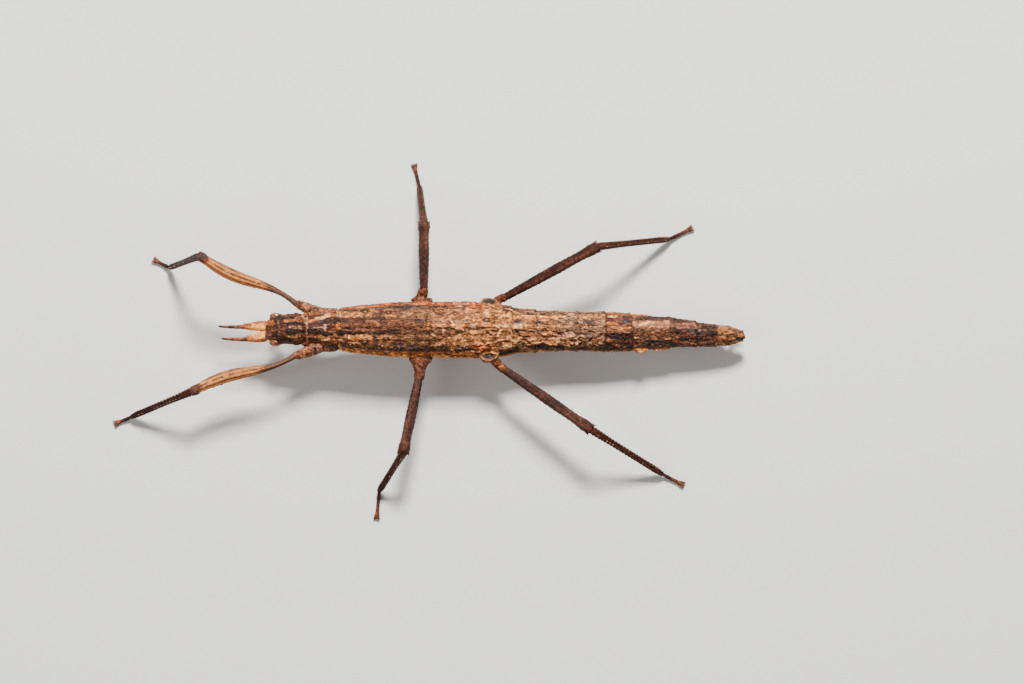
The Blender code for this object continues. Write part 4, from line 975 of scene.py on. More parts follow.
def ridgedSection(squareness, ridges=(), height=0.0, width=0.2, tooth=0.5, notch=0.6):
    # a rounded square with long ridges, each notched into low teeth
    def section(angle, along):
        base = np.abs(np.sin(angle)) ** squareness + np.abs(np.cos(angle)) ** squareness
        base = base ** (-1.0 / squareness)
        total = np.repeat(base[None], len(along), 0)
        for place in ridges:
            away = (angle - math.radians(place) + math.pi) % (2.0 * math.pi) - math.pi
            teeth = 1.0 + notch * np.sin(2.0 * math.pi * along / tooth + place)
            total = total + height * peak(away, 0.0, width)[None] * teeth[:, None]
        return total
    return section


roundSection = ridgedSection(2.4)
# swellings of the thorax that carry the coxae: their run from the socket into the body, on the right
# side, and their half widths and half heights along it
bossShape = {
    "front": {"plate": "prothorax", "run": (1.55, -1.10, 0.05),
              "profile": ((0.0, 0.74, 0.72), (0.45, 0.86, 0.74), (0.8, 0.78, 0.70), (1.0, 0.66, 0.62))},
    "mid": {"plate": "mesothorax", "run": (0.28, -1.22, 0.0),
            "profile": ((0.0, 1.36, 0.66), (0.45, 1.32, 0.62), (1.0, 1.22, 0.54))},
    "hind": {"plate": "metathorax", "run": (-0.70, -1.02, 0.10),
             "profile": ((0.0, 0.62, 0.66), (0.45, 0.58, 0.60), (1.0, 0.47, 0.47))},
    "spacing": 0.07, "around": 48, "rough": 0.09,
    # folds of skin along the flank over the front coxae, on the right side
    "fold": ((-13.85, 1.35, 4.80), (-10.40, 2.02, 4.66)),
    "foldProfile": ((0.0, 0.42, 0.42), (0.3, 0.62, 0.54), (0.7, 0.62, 0.54), (1.0, 0.42, 0.42)),
}
legNames = ("front_right", "front_left", "mid_right", "mid_left", "hind_right", "hind_left")
legParts = ("coxa", "trochanter", "femur", "tibia", "tarsus")


def roughen(grid, colour, height, seed, contrast=1.0):
    # grains and pits between them in relief; in colour, painted shade in the pits and lighter grain tops as
    # painted highlight, each grain with its own tone
    grains, own = pebbles(grid, 0.22, seed)
    lumps = softNoise(grid, 0.5, seed + 1, 2)
    grid = grid + gridNormals(grid) * (height * ((1.0 - grains) ** 1.4 + 0.7 * lumps))[..., None]
    shade = (1.30 - 0.90 * grains ** 1.4) * (0.72 + 0.56 * own) * (1.0 + 0.35 * lumps)
    return grid, colour * (1.0 + contrast * (np.clip(shade, 0.2, 2.0) - 1.0))[..., None]


# hues that carry specks: the ground and its brightness, then the size of the specks, their seed, the noise
# where they begin and are full, their hue and strength
speckledHues = {
    "darkCoxa": ("redBrown", 1.1, (0.45, 0, -0.1, 0.35, "brown", 0.75), (0.26, 7, 0.15, 0.45, "tan", 0.70),
                 (0.28, 3, 0.12, 0.40, "darkBrown", 0.85)),
    "coxa": ("pinkTan", 0.75, (0.60, 0, -0.1, 0.35, "orangeTan", 0.55),
             (0.45, 5, -0.1, 0.25, "redBrown", 0.75), (0.30, 7, 0.25, 0.50, "paleOrange", 0.60),
             (0.28, 3, 0.18, 0.40, "darkBrown", 0.85)),
}


def speckledHue(name):
    hue, share, *layers = speckledHues[name]

    def paintSpecks(grid, t, angle, inner, seed):
        return tint(ground(grid, hue, share), *(
            (speckles(grid, size, seed + shift, low, high), speck, strength)
            for size, shift, low, high, speck, strength in layers))
    return paintSpecks


darkCoxaHue = speckledHue("darkCoxa")
coxaHue = speckledHue("coxa")


def addBoss(shell, start, end, profile, hue, seed, share, caps):
    grid, t, angle, axis = granularTube(start, end, profile, bossShape["spacing"], bossShape["around"],
                                        roundSection)
    grid, colour = roughen(grid, hue(grid, t, angle, 1.0, seed), bossShape["rough"], seed + 2)
    addTube(shell, grid, colour * share, *caps)


def addBosses(shell):
    for leg in legNames:
        kind, hand = leg.split("_")
        boss = bossShape[kind]
        socket = jointBetween(boss["plate"], "coxa_" + leg)
        coxaEnd = jointBetween("coxa_" + leg, "trochanter_" + leg)
        inner = socket + np.array(boss["run"]) * (1.0, sideSign(hand), 1.0)
        outer = socket + unit(coxaEnd - socket) * 0.1
        hue = coxaHue if kind == "front" else darkCoxaHue
        addBoss(shell, inner, outer, boss["profile"], hue, 71, 1.0, (0.1, 0.22))
    for outward in (1.0, -1.0):
        start, end = (np.array(place) * (1.0, outward, 1.0) + middleShift for place in bossShape["fold"])
        addBoss(shell, start, end, bossShape["foldProfile"], coxaHue, 75, 0.8, (0.3, 0.25))


def setGranular(mesh, values=()):
    # how thickly granules stand: in full, apart from the values given for the first points
    full = np.ones(len(mesh.vertices), dtype=np.float32)
    full[:len(values)] = values
    mesh.attributes.new(name="granular", type="FLOAT", domain="POINT").data.foreach_set("value", full)


def buildBody():
    grid, turn, number, share = layBody()
    masks = bodyMasks(grid, turn, number, share)
    grid = grid + gridNormals(grid) * bodyRelief(grid, turn, masks)[..., None]
    colour = bodyColours(grid, turn, masks)
    notch = bodyShape["tailNotch"]  # between the two last lobes
    narrowing = smoothStep(notch["from"], notch["to"], grid[..., 0])
    grid[..., 0] -= notch["depth"] * peak(grid[..., 1], 0.0, notch["halfWidth"]) * narrowing
    shell = newShell()
    addTube(shell, grid + middleShift, colour, 0.22, 0.12)
    addBosses(shell)
    piece = makePiece("bodySkin", shell, "bodyCuticle")
    onBack = np.pad(masks["onBack"], ((capSteps, capSteps), (0, 0)), mode="edge")
    setGranular(piece.data, onBack.ravel() * 0.8 + 0.2)
    return piece


bodySkin = buildBody()
print("body skin laid")


# Geometry Nodes: granules scattered over a skin, beads along a ridge, and ringed feelers

def newTree(name, sizes):
    tree = bpy.data.node_groups.new(name, "GeometryNodeTree")
    for way in ("OUTPUT", "INPUT"):
        tree.interface.new_socket(name="Geometry", in_out=way, socket_type="NodeSocketGeometry")
    for label, kind, value in sizes:
        socket = tree.interface.new_socket(name=label, in_out="INPUT", socket_type="NodeSocket" + kind)
        if value is not None:
            socket.default_value = value
    return tree, tree.nodes.new("NodeGroupInput").outputs, tree.nodes.new("NodeGroupOutput").inputs[0]


def endTree(tree, geometry, material, result):
    real = addNode(tree, "GeometryNodeRealizeInstances", [("Geometry", geometry)])
    smooth = addNode(tree, "GeometryNodeSetShadeSmooth", [("Geometry", real.outputs[0])])
    dressed = addNode(tree, "GeometryNodeSetMaterial", [
        ("Geometry", smooth.outputs[0]), ("Material", material)])
    tree.links.new(dressed.outputs[0], result)
    return tree


def overSkin(tree, given):
    where = addNode(tree, "GeometryNodeInputNamedAttribute", [("Name", "granular")], data_type="FLOAT")
    return addNode(tree, "GeometryNodeDistributePointsOnFaces", [
        ("Mesh", given["Geometry"]), ("Distance Min", given["Spacing"]), ("Density Max", given["Density"]),
        ("Density Factor", where.outputs[0]), ("Seed", given["Seed"])], distribute_method="POISSON")


def alongCurves(tree, given):
    return addNode(tree, "GeometryNodeCurveToPoints", [
        ("Curve", given["Geometry"]), ("Length", given["Spacing"])], mode="LENGTH")


def makeBallTree(name, scatter, stretch, extra=()):
    # small balls of uneven size, flattened on a skin or stretched along a row
    tree, given, result = newTree(name, [
        ("Spacing", "Float", 0.0002), ("Smallest", "Float", 0.00002), ("Largest", "Float", 0.00006),
        ("Stretch", "Float", stretch), ("Seed", "Int", 1), ("Material", "Material", None), *extra])
    points = scatter(tree, given)
    ball = addNode(tree, "GeometryNodeMeshIcoSphere", [("Radius", 1.0), ("Subdivisions", 1)])
    size = addNode(tree, "FunctionNodeRandomValue", [
        (2, given["Smallest"]), (3, given["Largest"]), ("Seed", given["Seed"])], data_type="FLOAT").outputs[1]
    outward = makeCalc(tree)("MULTIPLY", size, given["Stretch"])
    scale = addNode(tree, "ShaderNodeCombineXYZ", [("X", size), ("Y", size), ("Z", outward)])
    placed = addNode(tree, "GeometryNodeInstanceOnPoints", [
        ("Points", points.outputs["Points"]), ("Instance", ball.outputs["Mesh"]),
        ("Rotation", points.outputs["Rotation"]), ("Scale", scale.outputs[0])])
    return endTree(tree, placed.outputs[0], given["Material"], result)


def makeFeelerTree():
    # a tapering whip of short rings swept along a curve
    tree, given, result = newTree("ringedFeeler", [
        ("Radius", "Float", 0.00026), ("Tip Share", "Float", 0.55), ("Rings", "Float", 14.0),
        ("Ring Height", "Float", 0.10), ("Samples", "Int", 180), ("Sides", "Int", 28),
        ("Material", "Material", None)])
    calc = makeCalc(tree)
    fine = addNode(tree, "GeometryNodeResampleCurve", [
        ("Curve", given["Geometry"]), ("Count", given["Samples"])])
    place = addNode(tree, "GeometryNodeSplineParameter").outputs["Factor"]
    loss = calc("MULTIPLY", place, calc("SUBTRACT", 1.0, given["Tip Share"]))
    wave = calc("ABSOLUTE", calc("SINE", calc("MULTIPLY", calc("MULTIPLY", place, given["Rings"]), math.pi)))
    swelling = calc("SUBTRACT", calc("POWER", wave, 0.6), 0.6)
    ring = calc("ADD", 1.0, calc("MULTIPLY", swelling, given["Ring Height"]))
    rounding = calc("POWER", calc("SUBTRACT", 1.0, calc("POWER", place, 24.0)), 0.5)
    radius = calc("MULTIPLY", calc("MULTIPLY", calc("SUBTRACT", 1.0, loss), ring), rounding)
    outline = addNode(tree, "GeometryNodeCurvePrimitiveCircle", [
        ("Resolution", given["Sides"]), ("Radius", given["Radius"])])
    swept = addNode(tree, "GeometryNodeCurveToMesh", [
        ("Curve", fine.outputs[0]), ("Profile Curve", outline.outputs["Curve"]), ("Scale", radius),
        ("Fill Caps", True)])
    return endTree(tree, swept.outputs[0], given["Material"], result)


def grow(tree, source, name, **values):
    # runs a tree on an object and keeps what it makes as a plain mesh of its own
    modifier = source.modifiers.new(name, "NODES")
    modifier.node_group = tree
    labels = {item.name: item.identifier for item in tree.interface.items_tree if item.in_out == "INPUT"}
    for label, value in values.items():
        modifier[labels[label.replace("_", " ")]] = value
    bpy.context.view_layer.update()
    graph = bpy.context.evaluated_depsgraph_get()
    grown = source.evaluated_get(graph)
    mesh = bpy.data.meshes.new_from_object(grown, preserve_all_data_layers=True, depsgraph=graph)
    source.modifiers.remove(modifier)
    mesh.name = name
    return addObject(name, mesh)


def makeCurve(name, lines):
    data = bpy.data.curves.new(name, "CURVE")
    data.dimensions = "3D"
    for line in lines:
        spline = data.splines.new("POLY")
        spline.points.add(len(line) - 1)
        for point, place in zip(spline.points, line):
            point.co = (*(np.array(place) * mm), 1.0)
    return addObject(name, data)


granuleTree = makeBallTree("scatterGranules", overSkin, 0.6, [("Density", "Float", 1.0e7)])
beadTree = makeBallTree("beadRow", alongCurves, 1.7)
feelerTree = makeFeelerTree()
granuleVertices = 12  # of one icosahedron

# in metres, as the trees take them, and granules to a square metre
granuleKinds = {
    "body": {"Spacing": 0.00019, "Density": 2.4e7, "Smallest": 0.000025, "Largest": 0.000070},
    "leg": {"Spacing": 0.00022, "Density": 1.6e7, "Smallest": 0.000020, "Largest": 0.000045},
}


def scatterGranules(skin, name, kind, seed):
    piece = grow(granuleTree, skin, name, Seed=seed, Material=materials["granuleCuticle"],
                 **granuleKinds[kind])
    mesh = piece.data
    values = np.empty(len(mesh.vertices) * 4, dtype=np.float32)
    mesh.attributes["markings"].data.foreach_get("color", values)
    colours = values.reshape(-1, granuleVertices, 4)[..., :3]
    # granules are painted paler than the skin under them, at random strength, partly as a painted highlight
    # on their tops
    paler = np.random.default_rng(seed).random((len(colours), 1, 1)) ** 3.0
    colours = colours * (1.15 + 0.9 * paler) + np.array(hues["cream"]) * 0.10 * paler
    mesh.attributes.remove(mesh.attributes["markings"])
    paint(mesh, colours.reshape(-1, 3))
    rideRoot(piece)


scatterGranules(bodySkin, "bodyGranules", "body", 5)
rideRoot(bodySkin, ["head"] + plateNodes)


# legs: each skin covers coxa, trochanter, femur, tibia and tarsus, with rounded joints that overlap

legShape = {
    # place along the segment, half width, half height; coxa, then trochanter
    "frontBasal": (((0.0, 0.54, 0.54), (0.5, 0.60, 0.58), (1.0, 0.48, 0.47)),
                   ((0.0, 0.47, 0.46), (0.5, 0.47, 0.46), (1.0, 0.33, 0.35))),
    "midBasal": (((0.0, 1.22, 0.52), (0.2, 1.00, 0.54), (0.45, 0.78, 0.54), (0.7, 0.62, 0.50),
                  (1.0, 0.52, 0.46)),
                 ((0.0, 0.54, 0.46), (0.5, 0.56, 0.50), (1.0, 0.42, 0.40))),
    "hindBasal": (((0.0, 0.46, 0.46), (0.5, 0.51, 0.50), (1.0, 0.42, 0.42)),
                  ((0.0, 0.43, 0.42), (0.5, 0.47, 0.46), (1.0, 0.36, 0.37))),
    "frontFemur": ((0.0, 0.32, 0.34), (0.14, 0.27, 0.32), (0.30, 0.40, 0.44), (0.48, 0.58, 0.56),
                   (0.80, 0.60, 0.58), (0.93, 0.50, 0.54), (1.0, 0.53, 0.52)),
    "femur": ((0.0, 0.40, 0.40), (0.20, 0.46, 0.48), (0.55, 0.54, 0.54), (0.84, 0.52, 0.52),
              (0.95, 0.60, 0.55), (1.0, 0.50, 0.48)),
    "tibia": ((0.0, 0.32, 0.34), (0.05, 0.40, 0.38), (0.12, 0.39, 0.37), (0.28, 0.345, 0.33),
              (0.80, 0.315, 0.30), (0.94, 0.30, 0.29), (1.0, 0.23, 0.22)),
    "bow": 0.30, "spacing": 0.075, "around": 44, "floorGap": 0.02, "kneeOverlap": 0.12,
    "clawReach": 0.34, "toeHeight": 0.24, "tarsomeres": (0.34, 0.17, 0.12, 0.10, 0.27),
    "slender": 0.22, "flared": 0.32,
}
legRidges = (38, 322, 90, 270, 142, 218)  # degrees from the upper side
femurSection = ridgedSection(3.0, legRidges, 0.11, 0.15, 0.62, 0.30)
frontFemurSection = ridgedSection(2.8, legRidges, 0.07, 0.17, 1.30, 0.08)
tibiaSection = ridgedSection(2.6, (32, 328, 92, 268, 150, 210), 0.16, 0.16, 0.42)
# lobes that clasp the knee, and pairs of teeth before it; back, out and down from the knee
kneeLobe = {"back": 0.62, "out": 0.40, "down": 0.10, "length": 0.84, "width": 0.14, "thickness": 0.26,
            "spread": {"front": 0.06, "mid": 0.26, "hind": 0.26}}
kneeTeeth = {"places": (1.35, 2.35, 3.3), "out": 0.26, "down": 0.46, "length": 0.14, "drop": 0.22,
             "width": 0.09, "thickness": 0.07}
clawTip = {"height": 0.06, "floorGap": 0.015}
# places of a claw beyond the toe: forward, out and up, and its half thickness there
clawShape = ((-0.08, 0.12, 0.0, 0.13), (0.10, 0.24, 0.05, 0.115), (0.21, 0.29, -0.02, 0.080),
             (0.31, 0.25, 0.0, 0.024))


def limbNoise(t, angle, length, size, seed):
    # noise drawn out along a limb
    run, turn = np.broadcast_arrays(t * length * 0.25, angle)
    return softNoise(np.stack([run, 0.5 * np.sin(turn), 0.5 * np.cos(turn)], axis=-1), size, seed, 2)


def frontFemurHue(grid, t, angle, inner, seed):
    # orange-tan with cream stripes, the one on the upper side towards the key lamp partly a painted
    # highlight, and dark flecks; a thin grey neck at its base and a dark knee
    sideways = np.sin(angle) + 0.0 * t
    streaks = limbNoise(t, angle, 4.0, 0.22, seed)
    flecks = limbNoise(t, angle, 22.0, 0.30, seed + 3)
    onBlade = band(t, 0.28, 0.95, 0.05)
    above = np.cos(angle) > -0.2
    fleckRows = np.maximum(peak(sideways, -0.74, 0.22), peak(sideways, 0.04, 0.16)) * above
    towards = sideways * inner
    neck = 1.0 - smoothStep(0.26, 0.38, t + 0.06 * towards)
    kneecap = smoothStep(0.90, 0.945, t + 0.015 * np.cos(3.0 * angle))
    # cream stripes, a dark line and a pale edge; the first cream stripe, on the upper side towards the key
    # lamp, is partly a painted highlight
    stripesAndHighlight = ((-0.30, 0.20, "cream", 0.50), (0.34, 0.13, "cream", 0.45), (0.60, 0.09, "darkBrown", 0.85),
               (0.84, 0.09, "paleOrange", 0.70), (0.99, 0.05, "redBrown", 0.60))
    return tint(
        ground(grid, "orangeTan", (0.70, 0.78, 0.85)),
        (smoothStep(0.0, 0.35, streaks), "paleOrange", 0.60),
        (smoothStep(0.0, 0.30, -streaks) * onBlade, "redBrown", 0.60),
        *((peak(sideways, place, width) * above * onBlade, hue, share)
          for place, width, hue, share in stripesAndHighlight),
        (smoothStep(-0.06, 0.12, flecks) * onBlade * fleckRows, "darkBrown", 0.92),
        (smoothStep(0.10, 0.50, -np.cos(angle)) + 0.0 * t, "tan", 0.60),
        (neck, "black", 0.90),
        (neck * speckles(grid, 0.22, seed + 9, 0.20, 0.45), "brown", 0.45),
        (neck * smoothStep(-0.12, 0.02, towards), "plum", 0.80),
        (neck * peak(towards, -0.22, 0.09) * (np.cos(angle) > 0.0), "paleOrange", 0.70),
        (neck * smoothStep(0.90, 0.99, towards), "darkBrown", 0.70),
        (kneecap, "redBrown", 0.92),
        (kneecap * speckles(grid, 0.30, seed + 13, -0.20, 0.25), "slate", 0.85))


def femurHue(grid, t, angle, inner, seed):
    # dark red-brown, streaked along, with a paler painted highlight band along an upper flank near the knee
    streaks = limbNoise(t, angle, 10.0, 0.28, seed)
    return tint(
        ground(grid, "redBrown", 0.42),
        (smoothStep(0.0, 0.5, streaks), "redBrown", 0.65),
        (smoothStep(0.05, 0.40, -streaks), "darkBrown", 0.75),
        # painted highlight: a paler band along an upper flank towards the knee
        (peak(np.cos(angle + 0.7), 1.0, 0.20) * band(t, 0.60, 0.96, 0.10), "brown", 0.45),
        (speckles(grid, 0.22, seed + 5, 0.42, 0.62), "tan", 0.35),
        (speckles(grid, 0.30, seed + 7, 0.25, 0.50), "black", 0.65))


def tibiaHue(grid, t, angle, inner, seed):
    return tint(
        ground(grid, "redBrown", 0.42),
        (smoothStep(0.0, 0.4, limbNoise(t, angle, 9.0, 0.30, seed)), "redBrown", 0.50),
        (speckles(grid, 0.25, seed + 5, 0.10, 0.40), "black", 0.60),
        (1.0 - smoothStep(0.06, 0.18, t) + 0.0 * angle, "redBrown", 0.50))


def frontTibiaHue(grid, t, angle, inner, seed):
    streaks = smoothStep(-0.1, 0.3, limbNoise(t, angle, 9.0, 0.30, seed + 1))
    return tint(tibiaHue(grid, t, angle, inner, seed) * 0.7, (streaks, "darkRed", 0.6))


def tarsusHue(grid, t, angle, inner, seed):
    # dark and slender at first, then tan where it widens
    return tint(
        ground(grid, "redBrown"),
        (speckles(grid, 0.3, seed, 0.0, 0.5), "brown", 0.5),
        ((1.0 - smoothStep(0.35, 0.60, t)) + 0.0 * angle, "darkBrown", 0.75),
        (smoothStep(0.70, 0.85, t) * speckles(grid, 0.25, seed + 3, -0.4, 0.2), "tan", 0.50),
        (smoothStep(0.94, 1.0, t) + 0.0 * angle, "darkBrown", 0.6))


def addSegment(shell, start, end, profile, section, hue, seed, rough, caps=(0.25, 0.25), inner=1.0, bow=None,
               contrast=1.0):
    grid, t, angle, axis = granularTube(start, end, profile, legShape["spacing"], legShape["around"], section,
                                        bow)
    grid, colour = roughen(grid, hue(grid, t, angle, inner, seed), rough, seed + 20, contrast)
    grid[..., 2] = np.maximum(grid[..., 2], legShape["floorGap"])
    addTube(shell, grid, colour, *caps)


def addLobe(shell, root, tip, width, thickness, hue):
    # a small flat pointed lobe or tooth
    profile = ((0.0, width * 0.8, thickness), (0.45, width, thickness), (1.0, width * 0.25, thickness * 0.5))
    grid, t, angle, axis = granularTube(root, tip, profile, 0.05, 16, roundSection)
    addTube(shell, grid, ground(grid, hue) * (0.7 + 0.5 * t)[..., None], 0.03, 0.05, 4)


def bentTube(places, radii, around, spacing):
    # a tube along a smooth line through a few places
    places = np.array(places)
    t = np.linspace(0.0, 1.0, len(places))
    fine = np.linspace(0.0, 1.0, max(10, int(np.linalg.norm(places[-1] - places[0]) / spacing)))
    centre = easeTable(np.column_stack([t, places]), fine)
    reach = easeTable(np.column_stack([t, radii]), fine)
    ways = np.gradient(centre, axis=0)
    ways /= np.linalg.norm(ways, axis=1, keepdims=True)
    side = np.cross(up, ways)
    side /= np.linalg.norm(side, axis=1, keepdims=True)
    top = np.cross(ways, side)
    angle = np.linspace(0.0, 2.0 * math.pi, around, endpoint=False)
    ring = np.sin(angle)[None, :, None] * side[:, None] + np.cos(angle)[None, :, None] * top[:, None]
    return centre[:, None] + ring * reach[:, None, :], fine[:, None]


def addTarsus(shell, ankle, toe, seed):
    # five short parts, each wider at its pad
    done = 0.0
    for share in legShape["tarsomeres"]:
        ends = []
        for place in (done, done + share * 0.96):
            point = ankle + (toe - ankle) * place
            point[2] = toe[2] + (ankle[2] - toe[2]) * max(0.0, 1.0 - place / 0.45) ** 1.4
            ends.append(point)
        wide = legShape["flared" if share == legShape["tarsomeres"][-1] else "slender"]
        profile = ((0.0, 0.185, 0.19), (0.6, wide * 0.85, 0.21), (0.9, wide, 0.22), (1.0, wide * 0.9, 0.19))

        def partHue(grid, t, angle, inner, seed, start=done, size=share):
            return tarsusHue(grid, start + t * size, angle, inner, seed)

        addSegment(shell, *ends, profile, roundSection, partHue, seed, rough=0.012, caps=(0.06, 0.08))
        done += share


def addKnee(shell, kind, knee, way):
    side, top = sideAndTop(way)
    for hand in (-1.0, 1.0):
        root = knee - way * kneeLobe["back"] + side * hand * kneeLobe["out"] - top * kneeLobe["down"]
        tip = root + way * kneeLobe["length"] + side * hand * kneeLobe["spread"][kind]
        addLobe(shell, root, tip, kneeLobe["width"], kneeLobe["thickness"], "redBrown")
        for place in kneeTeeth["places"]:
            root = knee - way * place + side * hand * kneeTeeth["out"] - top * kneeTeeth["down"]
            tip = root + way * kneeTeeth["length"] - top * kneeTeeth["drop"]
            addLobe(shell, root, tip, kneeTeeth["width"], kneeTeeth["thickness"], "brown")


def buildClaws(leg, toe, level):
    # two curved claws, apart from the skin
    claws = newShell()
    across = np.cross(up, level)
    for way in (-1.0, 1.0):
        places = [toe + level * forward + across * way * out + up * rise
                  for forward, out, rise, half in clawShape]
        places[-1][2] = clawTip["height"]
        grid, t = bentTube(places, [row[-1] for row in clawShape], 14, 0.03)
        grid[..., 2] = np.maximum(grid[..., 2], clawTip["floorGap"])
        addTube(claws, grid, ground(grid, "redBrown") * (1.0 - 0.75 * t[..., None]), 0.02, 0.015, 4)
    return makePiece("claws_" + leg, claws, "clawHorn")


def buildLeg(leg, seed):
    kind, hand = leg.split("_")
    outward = sideSign(hand)
    chain = [bossShape[kind]["plate"]] + [part + "_" + leg for part in legParts]
    socket, coxaEnd, hip, knee, ankle = map(jointBetween, chain, chain[1:])
    foot = nodePoints("tarsus_" + leg)
    level = foot.mean(axis=0) - ankle
    level = unit(np.array([level[0], level[1], 0.0]))
    toe = ankle + level * (((foot - ankle) @ level).max() - legShape["clawReach"])
    toe[2] = legShape["toeHeight"]
    femurWay = unit(knee - hip)
    shell = newShell()
    coxa, trochanter = legShape[kind + "Basal"]
    hue = coxaHue if kind == "front" else darkCoxaHue
    rough = 0.13 if kind == "mid" else 0.08
    addSegment(shell, socket, coxaEnd, coxa, roundSection, hue, seed, rough)
    addSegment(shell, coxaEnd, hip, trochanter, roundSection, hue, seed + 1, rough)

    def bow(t):
        turnSide = 1.0 if femurWay[0] * outward > 0.0 else -1.0
        return legShape["bow"] * turnSide * np.sin(2.0 * math.pi * t ** 0.85)

    if kind == "front":
        inner = 1.0 if np.cross(up, femurWay)[1] * outward < 0.0 else -1.0
        addSegment(shell, hip, knee, legShape["frontFemur"], frontFemurSection, frontFemurHue, seed + 2,
                   0.008, (0.2, 0.38), inner, bow, 0.35)
    else:
        addSegment(shell, hip, knee, legShape["femur"], femurSection, femurHue, seed + 2, 0.020, (0.2, 0.30))
    tibiaStart = knee - unit(ankle - knee) * legShape["kneeOverlap"]
    hue = frontTibiaHue if kind == "front" else tibiaHue
    addSegment(shell, tibiaStart, ankle, legShape["tibia"], tibiaSection, hue, seed + 3, 0.018, (0.25, 0.16))
    addKnee(shell, kind, knee, femurWay)
    addTarsus(shell, ankle, toe, seed + 4)
    addLobe(shell, toe - level * 0.10, toe + level * 0.24, 0.24, 0.15, "brown")  # the sole
    skin = makePiece("legSkin_" + leg, shell, "legCuticle")
    setGranular(skin.data)
    return skin, buildClaws(leg, toe, level), (knee, ankle)


tibiaEnds = []
for seed, leg in enumerate(legNames):
    skin, claws, ends = buildLeg(leg, 100 + 40 * seed)
    scatterGranules(skin, "legGranules_" + leg, "leg", 11 + seed)
    rideRoot(skin, [part + "_" + leg for part in legParts])
    rideRoot(claws)
    tibiaEnds.append(ends)


# rows of pale beads along the upper and side ridges of every tibia

beadShape = {"ridges": (32, 328, 92, 268), "from": 0.10, "to": 0.97, "samples": 40, "reach": 1.10, "seed": 9,
             "frontOf": -23.0}


def tibiaRidges(knee, ankle):
    side, top = sideAndTop(unit(ankle - knee))
    t = np.linspace(beadShape["from"], beadShape["to"], beadShape["samples"])
    width, height = easeTable(legShape["tibia"], t).T[..., None] * beadShape["reach"]
    centre = knee + (ankle - knee) * t[:, None]
    angles = [math.radians(place) for place in beadShape["ridges"]]
    return [centre + side * math.sin(angle) * width + top * math.cos(angle) * height for angle in angles]


ridgeCurve = makeCurve("ridgeCurve", [line for ends in tibiaEnds for line in tibiaRidges(*ends)])
beads = grow(beadTree, ridgeCurve, "tibiaBeads", Spacing=0.00042, Smallest=0.000030, Largest=0.000065,
             Stretch=1.6, Seed=beadShape["seed"], Material=materials["granuleCuticle"])
bpy.data.objects.remove(ridgeCurve)
# the front tibiae carry the palest beads
inFront = meshPoints(beads.data).reshape(-1, granuleVertices, 3)[:, :1, :1] < beadShape["frontOf"]
beadTones = np.random.default_rng(beadShape["seed"]).random(inFront.shape)
beadTones = beadTones ** np.where(inFront, 0.5, 1.8) * np.where(inFront, 1.0, 0.8)
beadColours = np.array(hues["redBrown"]) * (1.0 - beadTones)
beadColours = beadColours + np.where(inFront, hues["white"], hues["cream"]) * beadTones
paint(beads.data, np.repeat(beadColours, granuleVertices, axis=1).reshape(-1, 3))
rideRoot(beads)


# eyes: flattened domes with a facet relief

eyeShape = {"rows": 90, "around": 130, "facets": 1500, "relief": 0.010, "sunk": 0.11, "longer": 0.14,
            "oval": 0.03, "highest": 1.04, "pole": 0.02}


def buildEye(hand):
    low, high = nodeBox("eye_" + hand)
    centre = (low + high) / 2.0 - np.array([0.0, 0.0, eyeShape["sunk"]])
    radii = (high - low) / 2.0 + np.array([eyeShape["longer"], 0.0, 0.0])
    polar = np.linspace(eyeShape["pole"], math.pi - eyeShape["pole"], eyeShape["rows"])[:, None]
    angle = np.linspace(0.0, 2.0 * math.pi, eyeShape["around"], endpoint=False)[None]
    way = np.stack([np.sin(polar) * np.cos(angle), np.cos(polar) * np.ones_like(angle) * sideSign(hand),
                    np.sin(polar) * np.sin(angle)], axis=-1)
    # facets on a spiral of evenly spread centres
    count = np.arange(eyeShape["facets"]) + 0.5
    rise = 1.0 - 2.0 * count / eyeShape["facets"]
    golden = math.pi * (1.0 + 5.0 ** 0.5) * count
    wide = np.sqrt(1.0 - rise ** 2)
    middles = np.stack([wide * np.cos(golden), rise, wide * np.sin(golden)], -1)
    nearest = (way.reshape(-1, 3) @ middles.T).max(axis=1).reshape(way.shape[:2])
    away = np.arccos(np.clip(nearest, -1.0, 1.0)) / math.sqrt(4.0 * math.pi / eyeShape["facets"])
    dome = 1.0 + eyeShape["relief"] * (0.5 - away) + eyeShape["oval"] * np.cos(2.0 * angle)
    grid = centre + way * radii * np.minimum(dome, eyeShape["highest"])[..., None]
    shell = newShell()
    addTube(shell, grid, ground(grid, "orangeTan", 0.6), 0.002, 0.002, 1)
    rideRoot(makePiece("compoundEye_" + hand, shell, "eyeAmber"), ["eye_" + hand])


# antennae: a broad flat scape, then a short ringed whip

scapeShape = {"profile": ((0.0, 0.48, 0.27), (0.10, 0.53, 0.29), (0.35, 0.51, 0.29), (0.65, 0.42, 0.27),
                          (0.85, 0.33, 0.24), (1.0, 0.25, 0.21)),
              "spacing": 0.04, "around": 60, "rough": 0.02,
              # small spines round the tip, from one side to the other
              "spines": (-1.0, -0.55, -0.1, 0.35, 0.85)}
scapeSection = ridgedSection(3.4, (30, 330, 90, 270), 0.13, 0.14, 0.35, 0.35)
whipShape = {"radius": 0.00026, "rings": 11.0, "ringHeight": 0.06, "tipShare": 0.46, "samples": 220,
             "sag": (0.0, -0.07, 0.06), "sideSag": (0.0, -0.03, 0.02)}


